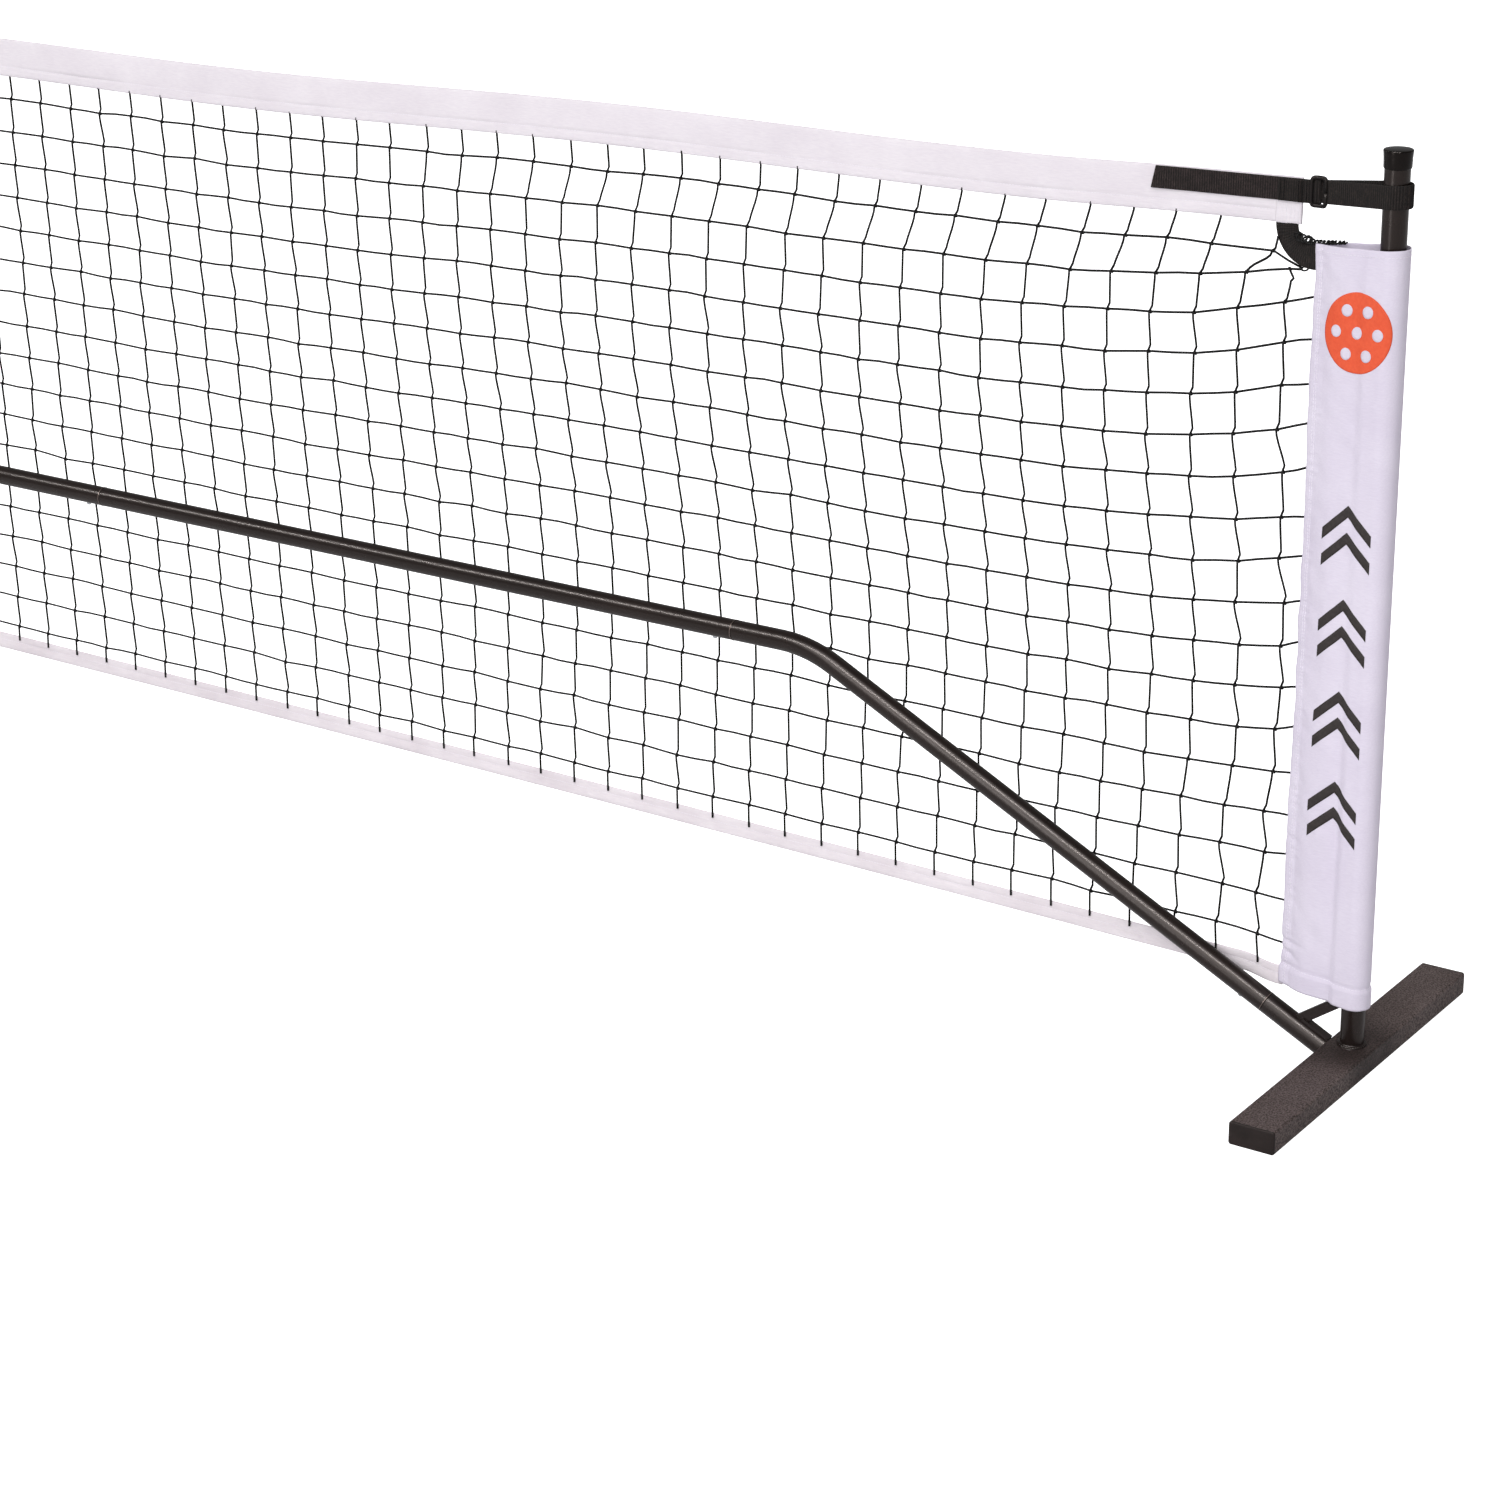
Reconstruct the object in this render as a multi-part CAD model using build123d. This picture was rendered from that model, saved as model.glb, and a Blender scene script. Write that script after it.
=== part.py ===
"""Portable pickleball net: a knock-down steel tube frame with three feet, and a net strung between its end posts.

Millimetres, +Z up. X runs along the net, the origin is on the floor under the net's middle, and the bars, posts
and feet stand on the plane Y = 0. The net hangs just behind them, on +Y.
Right-hand pieces are drawn at their place and the left-hand ones are their mirror images.
"""
from build123d import *
import math
import os

# ---- overall -------------------------------------------------------------------------------------------------
POST_SPACING = 6706.0        # between the axes of the end posts, 22 ft
HALF = POST_SPACING / 2
FIT_GAP = 0.3                # radial clearance between pieces that slide on each other
NEST_GAP = 0.2               # radial clearance of a spigot in the tube around it

# ---- feet ----------------------------------------------------------------------------------------------------
FOOT_W = 50.0
FOOT_H = 25.0
FOOT_L = 450.0
FOOT_WALL = 1.5
FOOT_CORNER = 3.0
CAP_PLATE = 2.0
CAP_PLATE_EASE = 1.5
CAP_PLUG = 14.0
CAP_CORE_CORNER = 1.0
FLOOR_GAP = 0.5              # what is welded to a foot stays this far above the floor

# ---- posts ---------------------------------------------------------------------------------------------------
POST_R = 12.5
POST_WALL = 1.2
STUB_TOP = 110.0             # where an end post sits down on its stub
POST_CAP_TOP = 947.0
POST_CAP_ROOF = 3.0
POST_CAP_H = 19.0
POST_CAP_WALL = 1.3
POST_CAP_FLARE = 0.6         # how much the cap's rim is wider than its skirt
POST_CAP_RIM = 2.6           # from the cap's top down to its widest ring
POST_CAP_DOME = 0.8
POST_CAP_EASE = 0.4          # how much the skirt narrows to its lower edge
POST_LIFT = 60.0             # spigot length, and so how far a post slides up before it is free
WELD_R = 15.5
WELD_H = 3.0

# ---- bars ----------------------------------------------------------------------------------------------------
BAR_R = 11.5
BAR_WALL = 1.2
BAR_Z = 331.5
BEND_R = 150.0
BEND_CORNER = 660.0          # from the post axis to where diagonal and bar would cross
DIAGONAL_DEG = 26.8
SPIGOT_R = BAR_R - BAR_WALL - NEST_GAP
SPIGOT_WALL = 1.0
SPIGOT_L = 56.0
SEAM_GAP = 0.5
SHOULDER = 6.0

# seams, from the post axis towards the middle
ANKLE = 97.0                 # the foot's stub into the curved tube
ELBOW = 756.0                # curved tube into the outer bar
BAR_L = 940.0                # outer and middle bars, seam to seam
ARM_END = 75.0               # from the middle of the net to the ends of the centre arms

# ---- snap buttons --------------------------------------------------------------------------------------------
BUTTON_R = 3.0
BUTTON_HOLE_R = 3.4
BUTTON_FROM_SEAM = 28.0
BUTTON_PROUD = 3.2
BUTTON_ROOT = 6.2            # inner face of the leaf, from the tube's axis
LEAF_L = 30.0
LEAF_SHIFT = 7.5             # middle of the leaf, from the button towards the spring's bow
LEAF_W = 9.0
LEAF_T = 1.0
SPRING_W = 7.0
SPRING_T = 0.8
SPRING_BOW_R = 4.3
SPRING_SEAT = 8.0            # outer face of the far leaf, from the tube's axis

# ---- brace ---------------------------------------------------------------------------------------------------
BRACE_W = 11.3
BRACE_T = 5.0
BRACE_FOOT_X = 67.3          # where its centre line meets the diagonal's axis, from the post axis
BRACE_HEAD_Z = 79.2          # where its centre line meets the post's axis
TAB_FROM = 60.0              # the strip under it, along the top of the diagonal
TAB_TO = 30.0
TAB_W = 9.0
TAB_T = 3.5
TAB_SINK = 1.0

# ---- centre support ------------------------------------------------------------------------------------------
LEG_TOP = 400.0
CENTRE_R = 11.0              # the centre post is slimmer than the end posts
CENTRE_POST_TOP = 862.0

# ---- net -----------------------------------------------------------------------------------------------------
NET_Y = 16.0                 # plane of the net
BAND_END = 104.0             # end of the headband, from the post axis
BAND_TOP_MID = 864.0         # 34 in at the middle
BAND_TOP_END = 904.5
BAND_SAG = 4.0
BAND_H = 45.0
BAND_T = 4.0
MESH_T = 1.2
MESH_END = 86.0
FOOTBAND_TOP_MID = 116.0
FOOTBAND_TOP_END = 88.5
FOOTBAND_H = 21.0
FOOTBAND_T = 2.4
BAND_STEPS = 8               # straight stretches in each half of a band's edge

SLEEVE_TOP = 852.0
SLEEVE_BOTTOM = 68.0
SLEEVE_T = 1.6
SLEEVE_R = 16.4
SLEEVE_EDGE = 86.0
SLEEVE_SEAM = 3.0            # solid width along its sewn edge
SLIT = 0.2                   # half the gap left between two layers of fabric at a seam

CORNER_CENTRE_Z = 859.0
CORNER_IN_R = 18.0
CORNER_OUT_R = 42.5
CORNER_T = 2.0
CORNER_CLEAR = 1.5           # round the webbing, where the netting is cut away

STRAP_LEFT = 263.0
STRAP_H = 24.0
STRAP_T = 1.5
STRAP_Z = 891.5
STRAP_Y = NET_Y - BAND_T / 2 - STRAP_T / 2

LOOP_T = 1.5
LOOP_FORK = 50.0             # where its two layers part to go round the post
LOOP_FLAT = 2.0              # thickness of the two layers together
LOOP_SEAM = 8.0              # where they lie on each other before they part
LOOP_FRONT = 1.0             # how far the gap's tip stands in front of the strap's plane
LOOP_LOW = 882.0
LOOP_H = 27.0

BUCKLE_X = 85.0
BUCKLE_W = 16.0
BUCKLE_H = 34.0
BUCKLE_BAR = 3.2
BUCKLE_T = 2.4

CENTRE_LOOP_LOW = 818.0
CENTRE_LOOP_H = 23.0


def at(x, y=0.0, z=0.0):
    """A place on the right-hand half, x measured from the post axis towards the middle."""
    return Pos(HALF - x, y, z)


def tube(radius, wall, length):
    """A round tube along +Z from the origin."""
    base = (Align.CENTER, Align.CENTER, Align.MIN)
    return Cylinder(radius, length, align=base) - Cylinder(radius - wall, length, align=base)


def spigot_tube(radius, wall, length, spigot_radius, spigot_wall, spigot_length):
    """A tube along +Z from the origin that ends in a shoulder and a narrower spigot."""
    inner = radius - wall
    ring = Pos(0, 0, length - SHOULDER) * tube(inner, inner - spigot_radius + spigot_wall, SHOULDER)
    spigot = Pos(0, 0, length - SHOULDER) * tube(spigot_radius, spigot_wall, spigot_length + SHOULDER)
    return tube(radius, wall, length) + ring + spigot


def rounded_section(width, height, corner, length):
    """A solid bar of rounded rectangular section along +Y, centred on the origin, with its underside on z = 0."""
    profile = Plane.XZ * Pos(0, height / 2) * RectangleRounded(width, height, corner)
    return extrude(profile, length / 2, both=True)


def diagonal_z(x):
    """Height of the diagonal's axis, x measured from the post axis."""
    return BAR_Z - (BEND_CORNER - x) * math.tan(math.radians(DIAGONAL_DEG))


def seam_frame(name):
    """A seam's frame on the right-hand half: Z outwards under the tube, X along it towards the middle."""
    x, z = SEAMS[name]
    if name == "ankle":
        turn = math.radians(DIAGONAL_DEG)
        along = (-math.cos(turn), 0, math.sin(turn))
        out = (-math.sin(turn), 0, -math.cos(turn))
    else:
        along = (-1, 0, 0)
        out = (0, 0, -1)
    return Plane(origin=(HALF - x, 0, z), x_dir=along, z_dir=out)


def axis_frame(name):
    """The same seam's frame with Z along the tube, towards the middle."""
    frame = seam_frame(name)
    return Plane(origin=frame.origin, x_dir=frame.z_dir, z_dir=frame.x_dir)


SEAMS = {
    "ankle": (ANKLE, diagonal_z(ANKLE)),
    "elbow": (ELBOW, BAR_Z),
    "outer": (ELBOW + BAR_L, BAR_Z),
    "middle": (ELBOW + 2 * BAR_L, BAR_Z),
    "hub": (HALF - ARM_END, BAR_Z),
}


def button_hole(name):
    """The cutter for a snap button's hole, through one wall of the tube and of the spigot in it."""
    base = (Align.CENTER, Align.CENTER, Align.MIN)
    cutter = Pos(BUTTON_FROM_SEAM, 0, BUTTON_ROOT) * Cylinder(BUTTON_HOLE_R, BAR_R, align=base)
    return seam_frame(name) * cutter


# ---- feet ----------------------------------------------------------------------------------------------------
def foot():
    """A rectangular tube lying along Y at x = 0."""
    length = FOOT_L - 2 * CAP_PLATE
    outer = rounded_section(FOOT_W, FOOT_H, FOOT_CORNER, length)
    bore = rounded_section(
        FOOT_W - 2 * FOOT_WALL, FOOT_H - 2 * FOOT_WALL, FOOT_CORNER - FOOT_WALL, length
    )
    return outer - Pos(0, 0, FOOT_WALL) * bore


def foot_end_cap():
    """The plug in a foot's +Y end: a plate flush with the tube, and a hollow plug inside it."""
    plate = Pos(0, (FOOT_L - CAP_PLATE) / 2, 0) * rounded_section(FOOT_W, FOOT_H, FOOT_CORNER, CAP_PLATE)
    plate = fillet(plate.faces().sort_by(Axis.Y)[-1].edges(), CAP_PLATE_EASE)
    inset = FOOT_WALL + NEST_GAP
    plug = rounded_section(FOOT_W - 2 * inset, FOOT_H - 2 * inset, FOOT_CORNER - FOOT_WALL, CAP_PLUG)
    core_inset = inset + FOOT_WALL
    core = rounded_section(FOOT_W - 2 * core_inset, FOOT_H - 2 * core_inset, CAP_CORE_CORNER, CAP_PLUG)
    plug_y = FOOT_L / 2 - CAP_PLATE - CAP_PLUG / 2
    return plate + Pos(0, plug_y, inset) * plug - Pos(0, plug_y, core_inset) * core


def weld_ring(inner):
    """The bead round the foot of an upright, from z = 0."""
    base = (Align.CENTER, Align.CENTER, Align.MIN)
    return Cone(WELD_R, inner, WELD_H, align=base)


# ---- uprights ------------------------------------------------------------------------------------------------
def upright_stub(top, post_radius):
    """The tube welded on a foot, with the spigot that a post sits on."""
    height = top - FOOT_H
    spigot_radius = post_radius - POST_WALL - FIT_GAP
    stub = spigot_tube(POST_R, POST_WALL, height, spigot_radius, POST_WALL, POST_LIFT)
    bore = Cylinder(POST_R - POST_WALL, WELD_H, align=(Align.CENTER, Align.CENTER, Align.MIN))
    return Pos(0, 0, FOOT_H) * (stub + (weld_ring(POST_R) - bore))


def post(bottom, top, radius):
    """An upright tube with its lower edge just above its stub's shoulder."""
    return Pos(0, 0, bottom + SEAM_GAP) * tube(radius, POST_WALL, top - bottom - SEAM_GAP)


def post_cap(cap_top, radius):
    """The moulded cap over a post's end: a cup that widens a little to a domed top."""
    low = cap_top - POST_CAP_H
    seat = cap_top - POST_CAP_ROOF + NEST_GAP
    bore = radius + NEST_GAP
    wall = radius + POST_CAP_WALL
    outline = [
        (0, cap_top),
        (wall - POST_CAP_DOME, cap_top - POST_CAP_DOME),
        (wall + POST_CAP_FLARE, cap_top - POST_CAP_RIM),
        (wall, (cap_top + low) / 2),
        (wall - POST_CAP_EASE, low),
        (bore, low),
        (bore, seat),
        (0, seat),
    ]
    return revolve(Plane.XZ * make_face(Polyline(*outline, close=True)), Axis.Z)


# ---- bars ----------------------------------------------------------------------------------------------------
def diagonal_stub():
    """The short tube welded to the foot's inner side, cut to the foot and the floor, and its spigot."""
    run = (ANKLE - FOOT_W / 2) / math.cos(math.radians(DIAGONAL_DEG)) + 2 * BAR_R
    stub = spigot_tube(BAR_R, BAR_WALL, run, SPIGOT_R, SPIGOT_WALL, SPIGOT_L)
    stub = axis_frame("ankle") * Pos(0, 0, -run) * stub
    foot_side = at(0, 0, FOOT_H) * Box(FOOT_W, FOOT_W, 4 * FOOT_H)
    floor = at(ANKLE / 2, 0, FLOOR_GAP - FOOT_H / 2) * Box(2 * ANKLE, FOOT_W, FOOT_H)
    return stub - foot_side - floor - button_hole("ankle")


def curved_tube():
    """From the ankle up the diagonal, round the bend and along to the elbow seam, ending in a spigot."""
    start = Vector(HALF - ANKLE, 0, diagonal_z(ANKLE))
    corner = Vector(HALF - BEND_CORNER, 0, BAR_Z)
    end = Vector(HALF - ELBOW, 0, BAR_Z)
    start = start + (corner - start).normalized() * SEAM_GAP
    path = FilletPolyline(start, corner, end, radius=BEND_R)
    section = Plane(origin=path @ 0, z_dir=path % 0)
    outer = sweep(section * Circle(BAR_R), path)
    bore = sweep(section * Circle(BAR_R - BAR_WALL), path)
    inner = BAR_R - BAR_WALL
    tip = tube(inner, inner - SPIGOT_R + SPIGOT_WALL, SHOULDER)
    tip += tube(SPIGOT_R, SPIGOT_WALL, SPIGOT_L + SHOULDER)
    tip = axis_frame("elbow") * Pos(0, 0, -SHOULDER) * tip
    return outer - bore + tip - button_hole("ankle") - button_hole("elbow")


def bar(start, end):
    """A straight tube from one seam to the next, with the spigot at its far end."""
    length = SEAMS[end][0] - SEAMS[start][0] - SEAM_GAP
    body = spigot_tube(BAR_R, BAR_WALL, length, SPIGOT_R, SPIGOT_WALL, SPIGOT_L)
    body = axis_frame(start) * Pos(0, 0, SEAM_GAP) * body
    return body - button_hole(start) - button_hole(end)


def centre_arm():
    """The right-hand arm of the centre support, welded to its leg and open towards the bar."""
    arm = axis_frame("hub") * Pos(0, 0, SEAM_GAP) * tube(BAR_R, BAR_WALL, ARM_END)
    leg = Pos(0, 0, BAR_Z) * Cylinder(POST_R, 4 * BAR_R)
    past = Pos(-ARM_END / 2, 0, BAR_Z) * Box(ARM_END, 4 * BAR_R, 4 * BAR_R)
    return arm - leg - past - button_hole("hub")


def brace():
    """The flat bar on edge from the diagonal stub up to the post stub, and the strip that welds it down."""
    foot_point = Vector(HALF - BRACE_FOOT_X, 0, diagonal_z(BRACE_FOOT_X))
    head_point = Vector(HALF, 0, BRACE_HEAD_Z)
    line = head_point - foot_point
    blade = Box(BRACE_T, BRACE_W, line.length, align=(Align.CENTER, Align.CENTER, Align.MIN))
    blade = Plane(origin=foot_point, x_dir=(0, 1, 0), z_dir=line) * blade
    slope = math.cos(math.radians(DIAGONAL_DEG))
    tab_at = (ANKLE - (TAB_FROM + TAB_TO) / 2) / slope
    tab = Box((TAB_FROM - TAB_TO) / slope, TAB_W, TAB_T)
    tab = seam_frame("ankle") * Pos(-tab_at, 0, TAB_SINK - BAR_R - TAB_T / 2) * tab
    stub = at(0, 0, STUB_TOP) * Cylinder(POST_R, 2 * STUB_TOP)
    foot_block = at(0, 0, FOOT_H / 2) * Box(FOOT_W, FOOT_L, FOOT_H)
    diagonal = axis_frame("ankle") * Cylinder(BAR_R, 4 * ANKLE)
    return blade + tab - stub - foot_block - diagonal


def snap_button(name):
    """A domed pin on its leaf of spring steel, under the tube just inside a seam."""
    shaft = BAR_R + BUTTON_PROUD - BUTTON_R - BUTTON_ROOT
    base = (Align.CENTER, Align.CENTER, Align.MIN)
    pin = Pos(0, 0, BUTTON_ROOT) * Cylinder(BUTTON_R, shaft, align=base)
    dome = Pos(0, 0, BUTTON_ROOT + shaft) * Sphere(BUTTON_R)
    leaf = Pos(LEAF_SHIFT, 0, BUTTON_ROOT) * Box(LEAF_L, LEAF_W, LEAF_T, align=base)
    return seam_frame(name) * Pos(BUTTON_FROM_SEAM, 0, 0) * (pin + dome + leaf)


def button_spring(name):
    """The far leaf of a snap button's spring, and the bow that brings it back under the button's leaf."""
    far = Box(LEAF_L, SPRING_W, SPRING_T, align=(Align.CENTER, Align.CENTER, Align.MIN))
    far = Pos(LEAF_SHIFT, 0, -SPRING_SEAT) * far
    ring = Circle(SPRING_BOW_R) - Circle(SPRING_BOW_R - SPRING_T)
    ring -= Pos(-SPRING_BOW_R, 0) * Rectangle(2 * SPRING_BOW_R, 2 * SPRING_BOW_R)
    bow = extrude(Plane.XZ * ring, SPRING_W / 2, both=True)
    bow = Pos(LEAF_SHIFT + LEAF_L / 2, 0, SPRING_BOW_R - SPRING_SEAT) * bow
    return seam_frame(name) * Pos(BUTTON_FROM_SEAM, 0, 0) * (far + bow)


# ---- net -----------------------------------------------------------------------------------------------------
def band_top(x):
    """Top edge of the headband, x measured from the middle of the net."""
    t = abs(x) / (HALF - BAND_END)
    return BAND_TOP_MID + (BAND_TOP_END - BAND_TOP_MID) * t - 4 * BAND_SAG * t * (1 - t)


def footband_top(x):
    """Top edge of the band along the net's foot."""
    t = abs(x) / HALF
    return FOOTBAND_TOP_MID + (FOOTBAND_TOP_END - FOOTBAND_TOP_MID) * t * t


def edge(height, reach):
    """Points along an edge of the net from -reach to +reach."""
    steps = range(-BAND_STEPS, BAND_STEPS + 1)
    return [(reach * i / BAND_STEPS, height(reach * i / BAND_STEPS)) for i in steps]


def panel(upper, lower, thickness):
    """A flat panel on the net's plane between two lists of points."""
    face = Plane.XZ * make_face(Polyline(*upper, *reversed(lower), close=True))
    return Pos(0, NET_Y, 0) * extrude(face, thickness / 2, both=True)


def headband():
    """The folded cover along the net's top edge."""
    reach = HALF - BAND_END
    return panel(edge(band_top, reach), edge(lambda x: band_top(x) - BAND_H, reach), BAND_T)


def footband():
    """The narrow band along the net's bottom edge."""
    reach = HALF - SLEEVE_EDGE
    lower = edge(lambda x: footband_top(x) - FOOTBAND_H, reach)
    return panel(edge(footband_top, reach), lower, FOOTBAND_T)


def net_mesh():
    """The netting as one thin panel, with its upper corners cut away round the corner webbing."""
    reach = HALF - MESH_END
    upper = edge(lambda x: band_top(x) - BAND_H - NEST_GAP, reach)
    sheet = panel(upper, edge(footband_top, reach), MESH_T)
    corner = Box(2 * (MESH_END + CORNER_OUT_R + CORNER_CLEAR), BAND_T, 2 * (CORNER_OUT_R + CORNER_CLEAR))
    for x in (-HALF, HALF):
        sheet -= Pos(x, NET_Y, CORNER_CENTRE_Z) * corner
    return sheet


def wrap(radius, tip_x, tip_y, tip_half):
    """The outline of fabric drawn tight round a post and closed at a tip: a circle and its two tangents."""
    corners = [(-tip_x, tip_y + tip_half), (-tip_x, tip_y - tip_half)]
    touch = []
    for (x, y), side in zip(corners, (1, -1)):
        reach = math.hypot(x, y)
        bearing = math.atan2(y, x) - side * math.acos(radius / reach)
        touch.append((radius * math.cos(bearing), radius * math.sin(bearing)))
    fan = Polyline(corners[0], touch[0], (0, 0), touch[1], corners[1], close=True)
    return Circle(radius) + make_face(fan)


def sleeve():
    """The tube of fabric round an end post, flattened to a seam where the netting is sewn in."""
    outline = wrap(SLEEVE_R, SLEEVE_EDGE, NET_Y, SLEEVE_T)
    outline -= wrap(SLEEVE_R - SLEEVE_T, SLEEVE_EDGE - SLEEVE_SEAM, NET_Y, SLIT)
    return at(0, 0, SLEEVE_BOTTOM) * extrude(outline, SLEEVE_TOP - SLEEVE_BOTTOM)


def corner_webbing():
    """The webbing from the headband's lower corner, bent down into the sleeve's top corner."""
    ring = Circle(CORNER_OUT_R) - Circle(CORNER_IN_R)
    quarter = ring & Pos(-CORNER_OUT_R / 2, -CORNER_OUT_R / 2) * Rectangle(CORNER_OUT_R, CORNER_OUT_R)
    blade = extrude(Plane.XZ * quarter, CORNER_T / 2, both=True)
    piece = at(MESH_END, NET_Y, CORNER_CENTRE_Z) * blade
    return piece - headband()


def strap():
    """The tail of the hook-and-loop strap, laid back along the front of the headband."""
    length = STRAP_LEFT - BAND_END
    return at((STRAP_LEFT + BAND_END) / 2, STRAP_Y, STRAP_Z) * Box(length, STRAP_T, STRAP_H)


def post_loop():
    """The webbing from the headband's end through the buckle, round the post and back."""
    outline = wrap(POST_R + FIT_GAP + LOOP_T, LOOP_FORK, STRAP_Y, LOOP_FLAT / 2)
    outline -= wrap(POST_R + FIT_GAP, LOOP_FORK - LOOP_SEAM, STRAP_Y - LOOP_FRONT, SLIT / 2)
    flat_end = LOOP_FORK - LOOP_SEAM / 2
    flat = Pos(-(BAND_END + flat_end) / 2, STRAP_Y) * Rectangle(BAND_END - flat_end, LOOP_FLAT)
    return at(0, 0, LOOP_LOW) * extrude(outline + flat, LOOP_H)


def buckle():
    """The slide buckle: two rails, two bars in front of the webbing and one behind it."""
    offset = LOOP_FLAT / 2 + FIT_GAP + BUCKLE_T / 2
    rail = Box(BUCKLE_W, 2 * offset + BUCKLE_T, BUCKLE_BAR)
    bar_piece = Box(BUCKLE_BAR, BUCKLE_T, BUCKLE_H)
    rail_z = (BUCKLE_H - BUCKLE_BAR) / 2
    bar_x = (BUCKLE_W - BUCKLE_BAR) / 2
    whole = Pos(0, 0, rail_z) * rail + Pos(0, 0, -rail_z) * rail + Pos(0, offset, 0) * bar_piece
    whole += Pos(-bar_x, -offset, 0) * bar_piece
    whole += Pos(bar_x, -offset, 0) * bar_piece
    return at(BUCKLE_X, STRAP_Y, LOOP_LOW + LOOP_H / 2) * whole


def centre_loop():
    """The webbing that ties the headband's middle to the centre post."""
    inner_r = CENTRE_R + FIT_GAP
    outer_r = inner_r + LOOP_T
    outer = Circle(outer_r) + Pos(0, NET_Y / 2) * Rectangle(2 * outer_r, NET_Y)
    inner = Circle(inner_r) + Pos(0, NET_Y / 2) * Rectangle(2 * inner_r, NET_Y)
    behind = Pos(0, NET_Y) * Rectangle(4 * outer_r, BAND_T)
    return Pos(0, 0, CENTRE_LOOP_LOW) * extrude(outer - inner - behind, CENTRE_LOOP_H)


# ---- the object ----------------------------------------------------------------------------------------------
def both_sides(name, piece, nodes):
    """Adds a right-hand piece and its mirror image."""
    nodes[name + "_right"] = piece
    nodes[name + "_left"] = mirror(piece, about=Plane.YZ)


def group(pieces):
    """Several separate solids in one node."""
    return Compound(children=[solid for piece in pieces for solid in piece.solids()])


def build():
    nodes = {}
    both_sides("foot", at(0) * foot(), nodes)
    nodes["foot_centre"] = foot()
    cap = foot_end_cap()
    nodes["foot_end_caps"] = group(
        [Pos(x, 0, 0) * Rot(0, 0, turn) * cap for x in (-HALF, 0, HALF) for turn in (0, 180)]
    )
    both_sides("post_stub", at(0) * upright_stub(STUB_TOP, POST_R), nodes)
    both_sides("diagonal_stub", diagonal_stub(), nodes)
    both_sides("brace", brace(), nodes)
    both_sides("curved_tube", curved_tube(), nodes)
    both_sides("outer_bar", bar("elbow", "outer"), nodes)
    both_sides("middle_bar", bar("outer", "middle"), nodes)
    both_sides("inner_bar", bar("middle", "hub"), nodes)
    nodes["centre_leg"] = upright_stub(LEG_TOP, CENTRE_R)
    arm = centre_arm()
    nodes["centre_arms"] = group([arm, mirror(arm, about=Plane.YZ)])
    springs = [button_spring(name) for name in SEAMS]
    nodes["button_springs"] = group(springs + [mirror(spring, about=Plane.YZ) for spring in springs])
    for name in SEAMS:
        both_sides(name + "_button", snap_button(name), nodes)
    both_sides("post", at(0) * post(STUB_TOP, POST_CAP_TOP - POST_CAP_ROOF, POST_R), nodes)
    both_sides("post_cap", at(0) * post_cap(POST_CAP_TOP, POST_R), nodes)
    nodes["centre_post"] = post(LEG_TOP, CENTRE_POST_TOP - POST_CAP_ROOF, CENTRE_R)
    nodes["centre_post_cap"] = post_cap(CENTRE_POST_TOP, CENTRE_R)
    nodes["headband"] = headband()
    nodes["footband"] = footband()
    nodes["net_mesh"] = net_mesh()
    nodes["centre_loop"] = centre_loop()
    both_sides("sleeve", sleeve(), nodes)
    both_sides("corner_webbing", corner_webbing(), nodes)
    both_sides("strap", strap(), nodes)
    both_sides("post_loop", post_loop(), nodes)
    both_sides("buckle", buckle(), nodes)
    return nodes


os.makedirs("parts", exist_ok=True)
for node, shape in build().items():
    export_step(shape, os.path.join("parts", node + ".step"))
    print(node, len(shape.solids()), "solid(s)", round(shape.volume / 1000, 1), "cm3")
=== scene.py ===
"""The portable net's looks: its cloth, netting, webbing, stitching and finishes, built round the
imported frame.

Metres, in the row frame. X runs along the net and the camera side is -Y. Places along the net are
given from the end post's axis, negative towards the middle. Side is +1 at the right-hand post and
-1 at the left-hand one, where everything is mirrored.
"""
import math

import bpy
import numpy as np
from mathutils import Matrix, Vector


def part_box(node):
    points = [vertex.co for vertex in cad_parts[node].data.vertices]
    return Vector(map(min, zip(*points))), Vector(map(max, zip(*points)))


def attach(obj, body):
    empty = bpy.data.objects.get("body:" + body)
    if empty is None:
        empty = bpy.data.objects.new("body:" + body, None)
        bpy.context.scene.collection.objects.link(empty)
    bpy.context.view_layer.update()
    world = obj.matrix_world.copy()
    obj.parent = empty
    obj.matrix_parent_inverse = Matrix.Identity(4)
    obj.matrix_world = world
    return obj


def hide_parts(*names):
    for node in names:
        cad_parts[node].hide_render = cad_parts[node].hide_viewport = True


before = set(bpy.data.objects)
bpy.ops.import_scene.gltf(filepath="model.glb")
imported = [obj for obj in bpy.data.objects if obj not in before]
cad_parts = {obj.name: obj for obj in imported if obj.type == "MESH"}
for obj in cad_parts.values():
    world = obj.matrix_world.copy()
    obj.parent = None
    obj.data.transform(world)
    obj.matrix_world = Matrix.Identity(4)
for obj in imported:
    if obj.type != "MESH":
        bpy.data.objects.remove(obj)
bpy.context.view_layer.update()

MM = 0.001
SIDES = {"right": 1, "left": -1}

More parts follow.
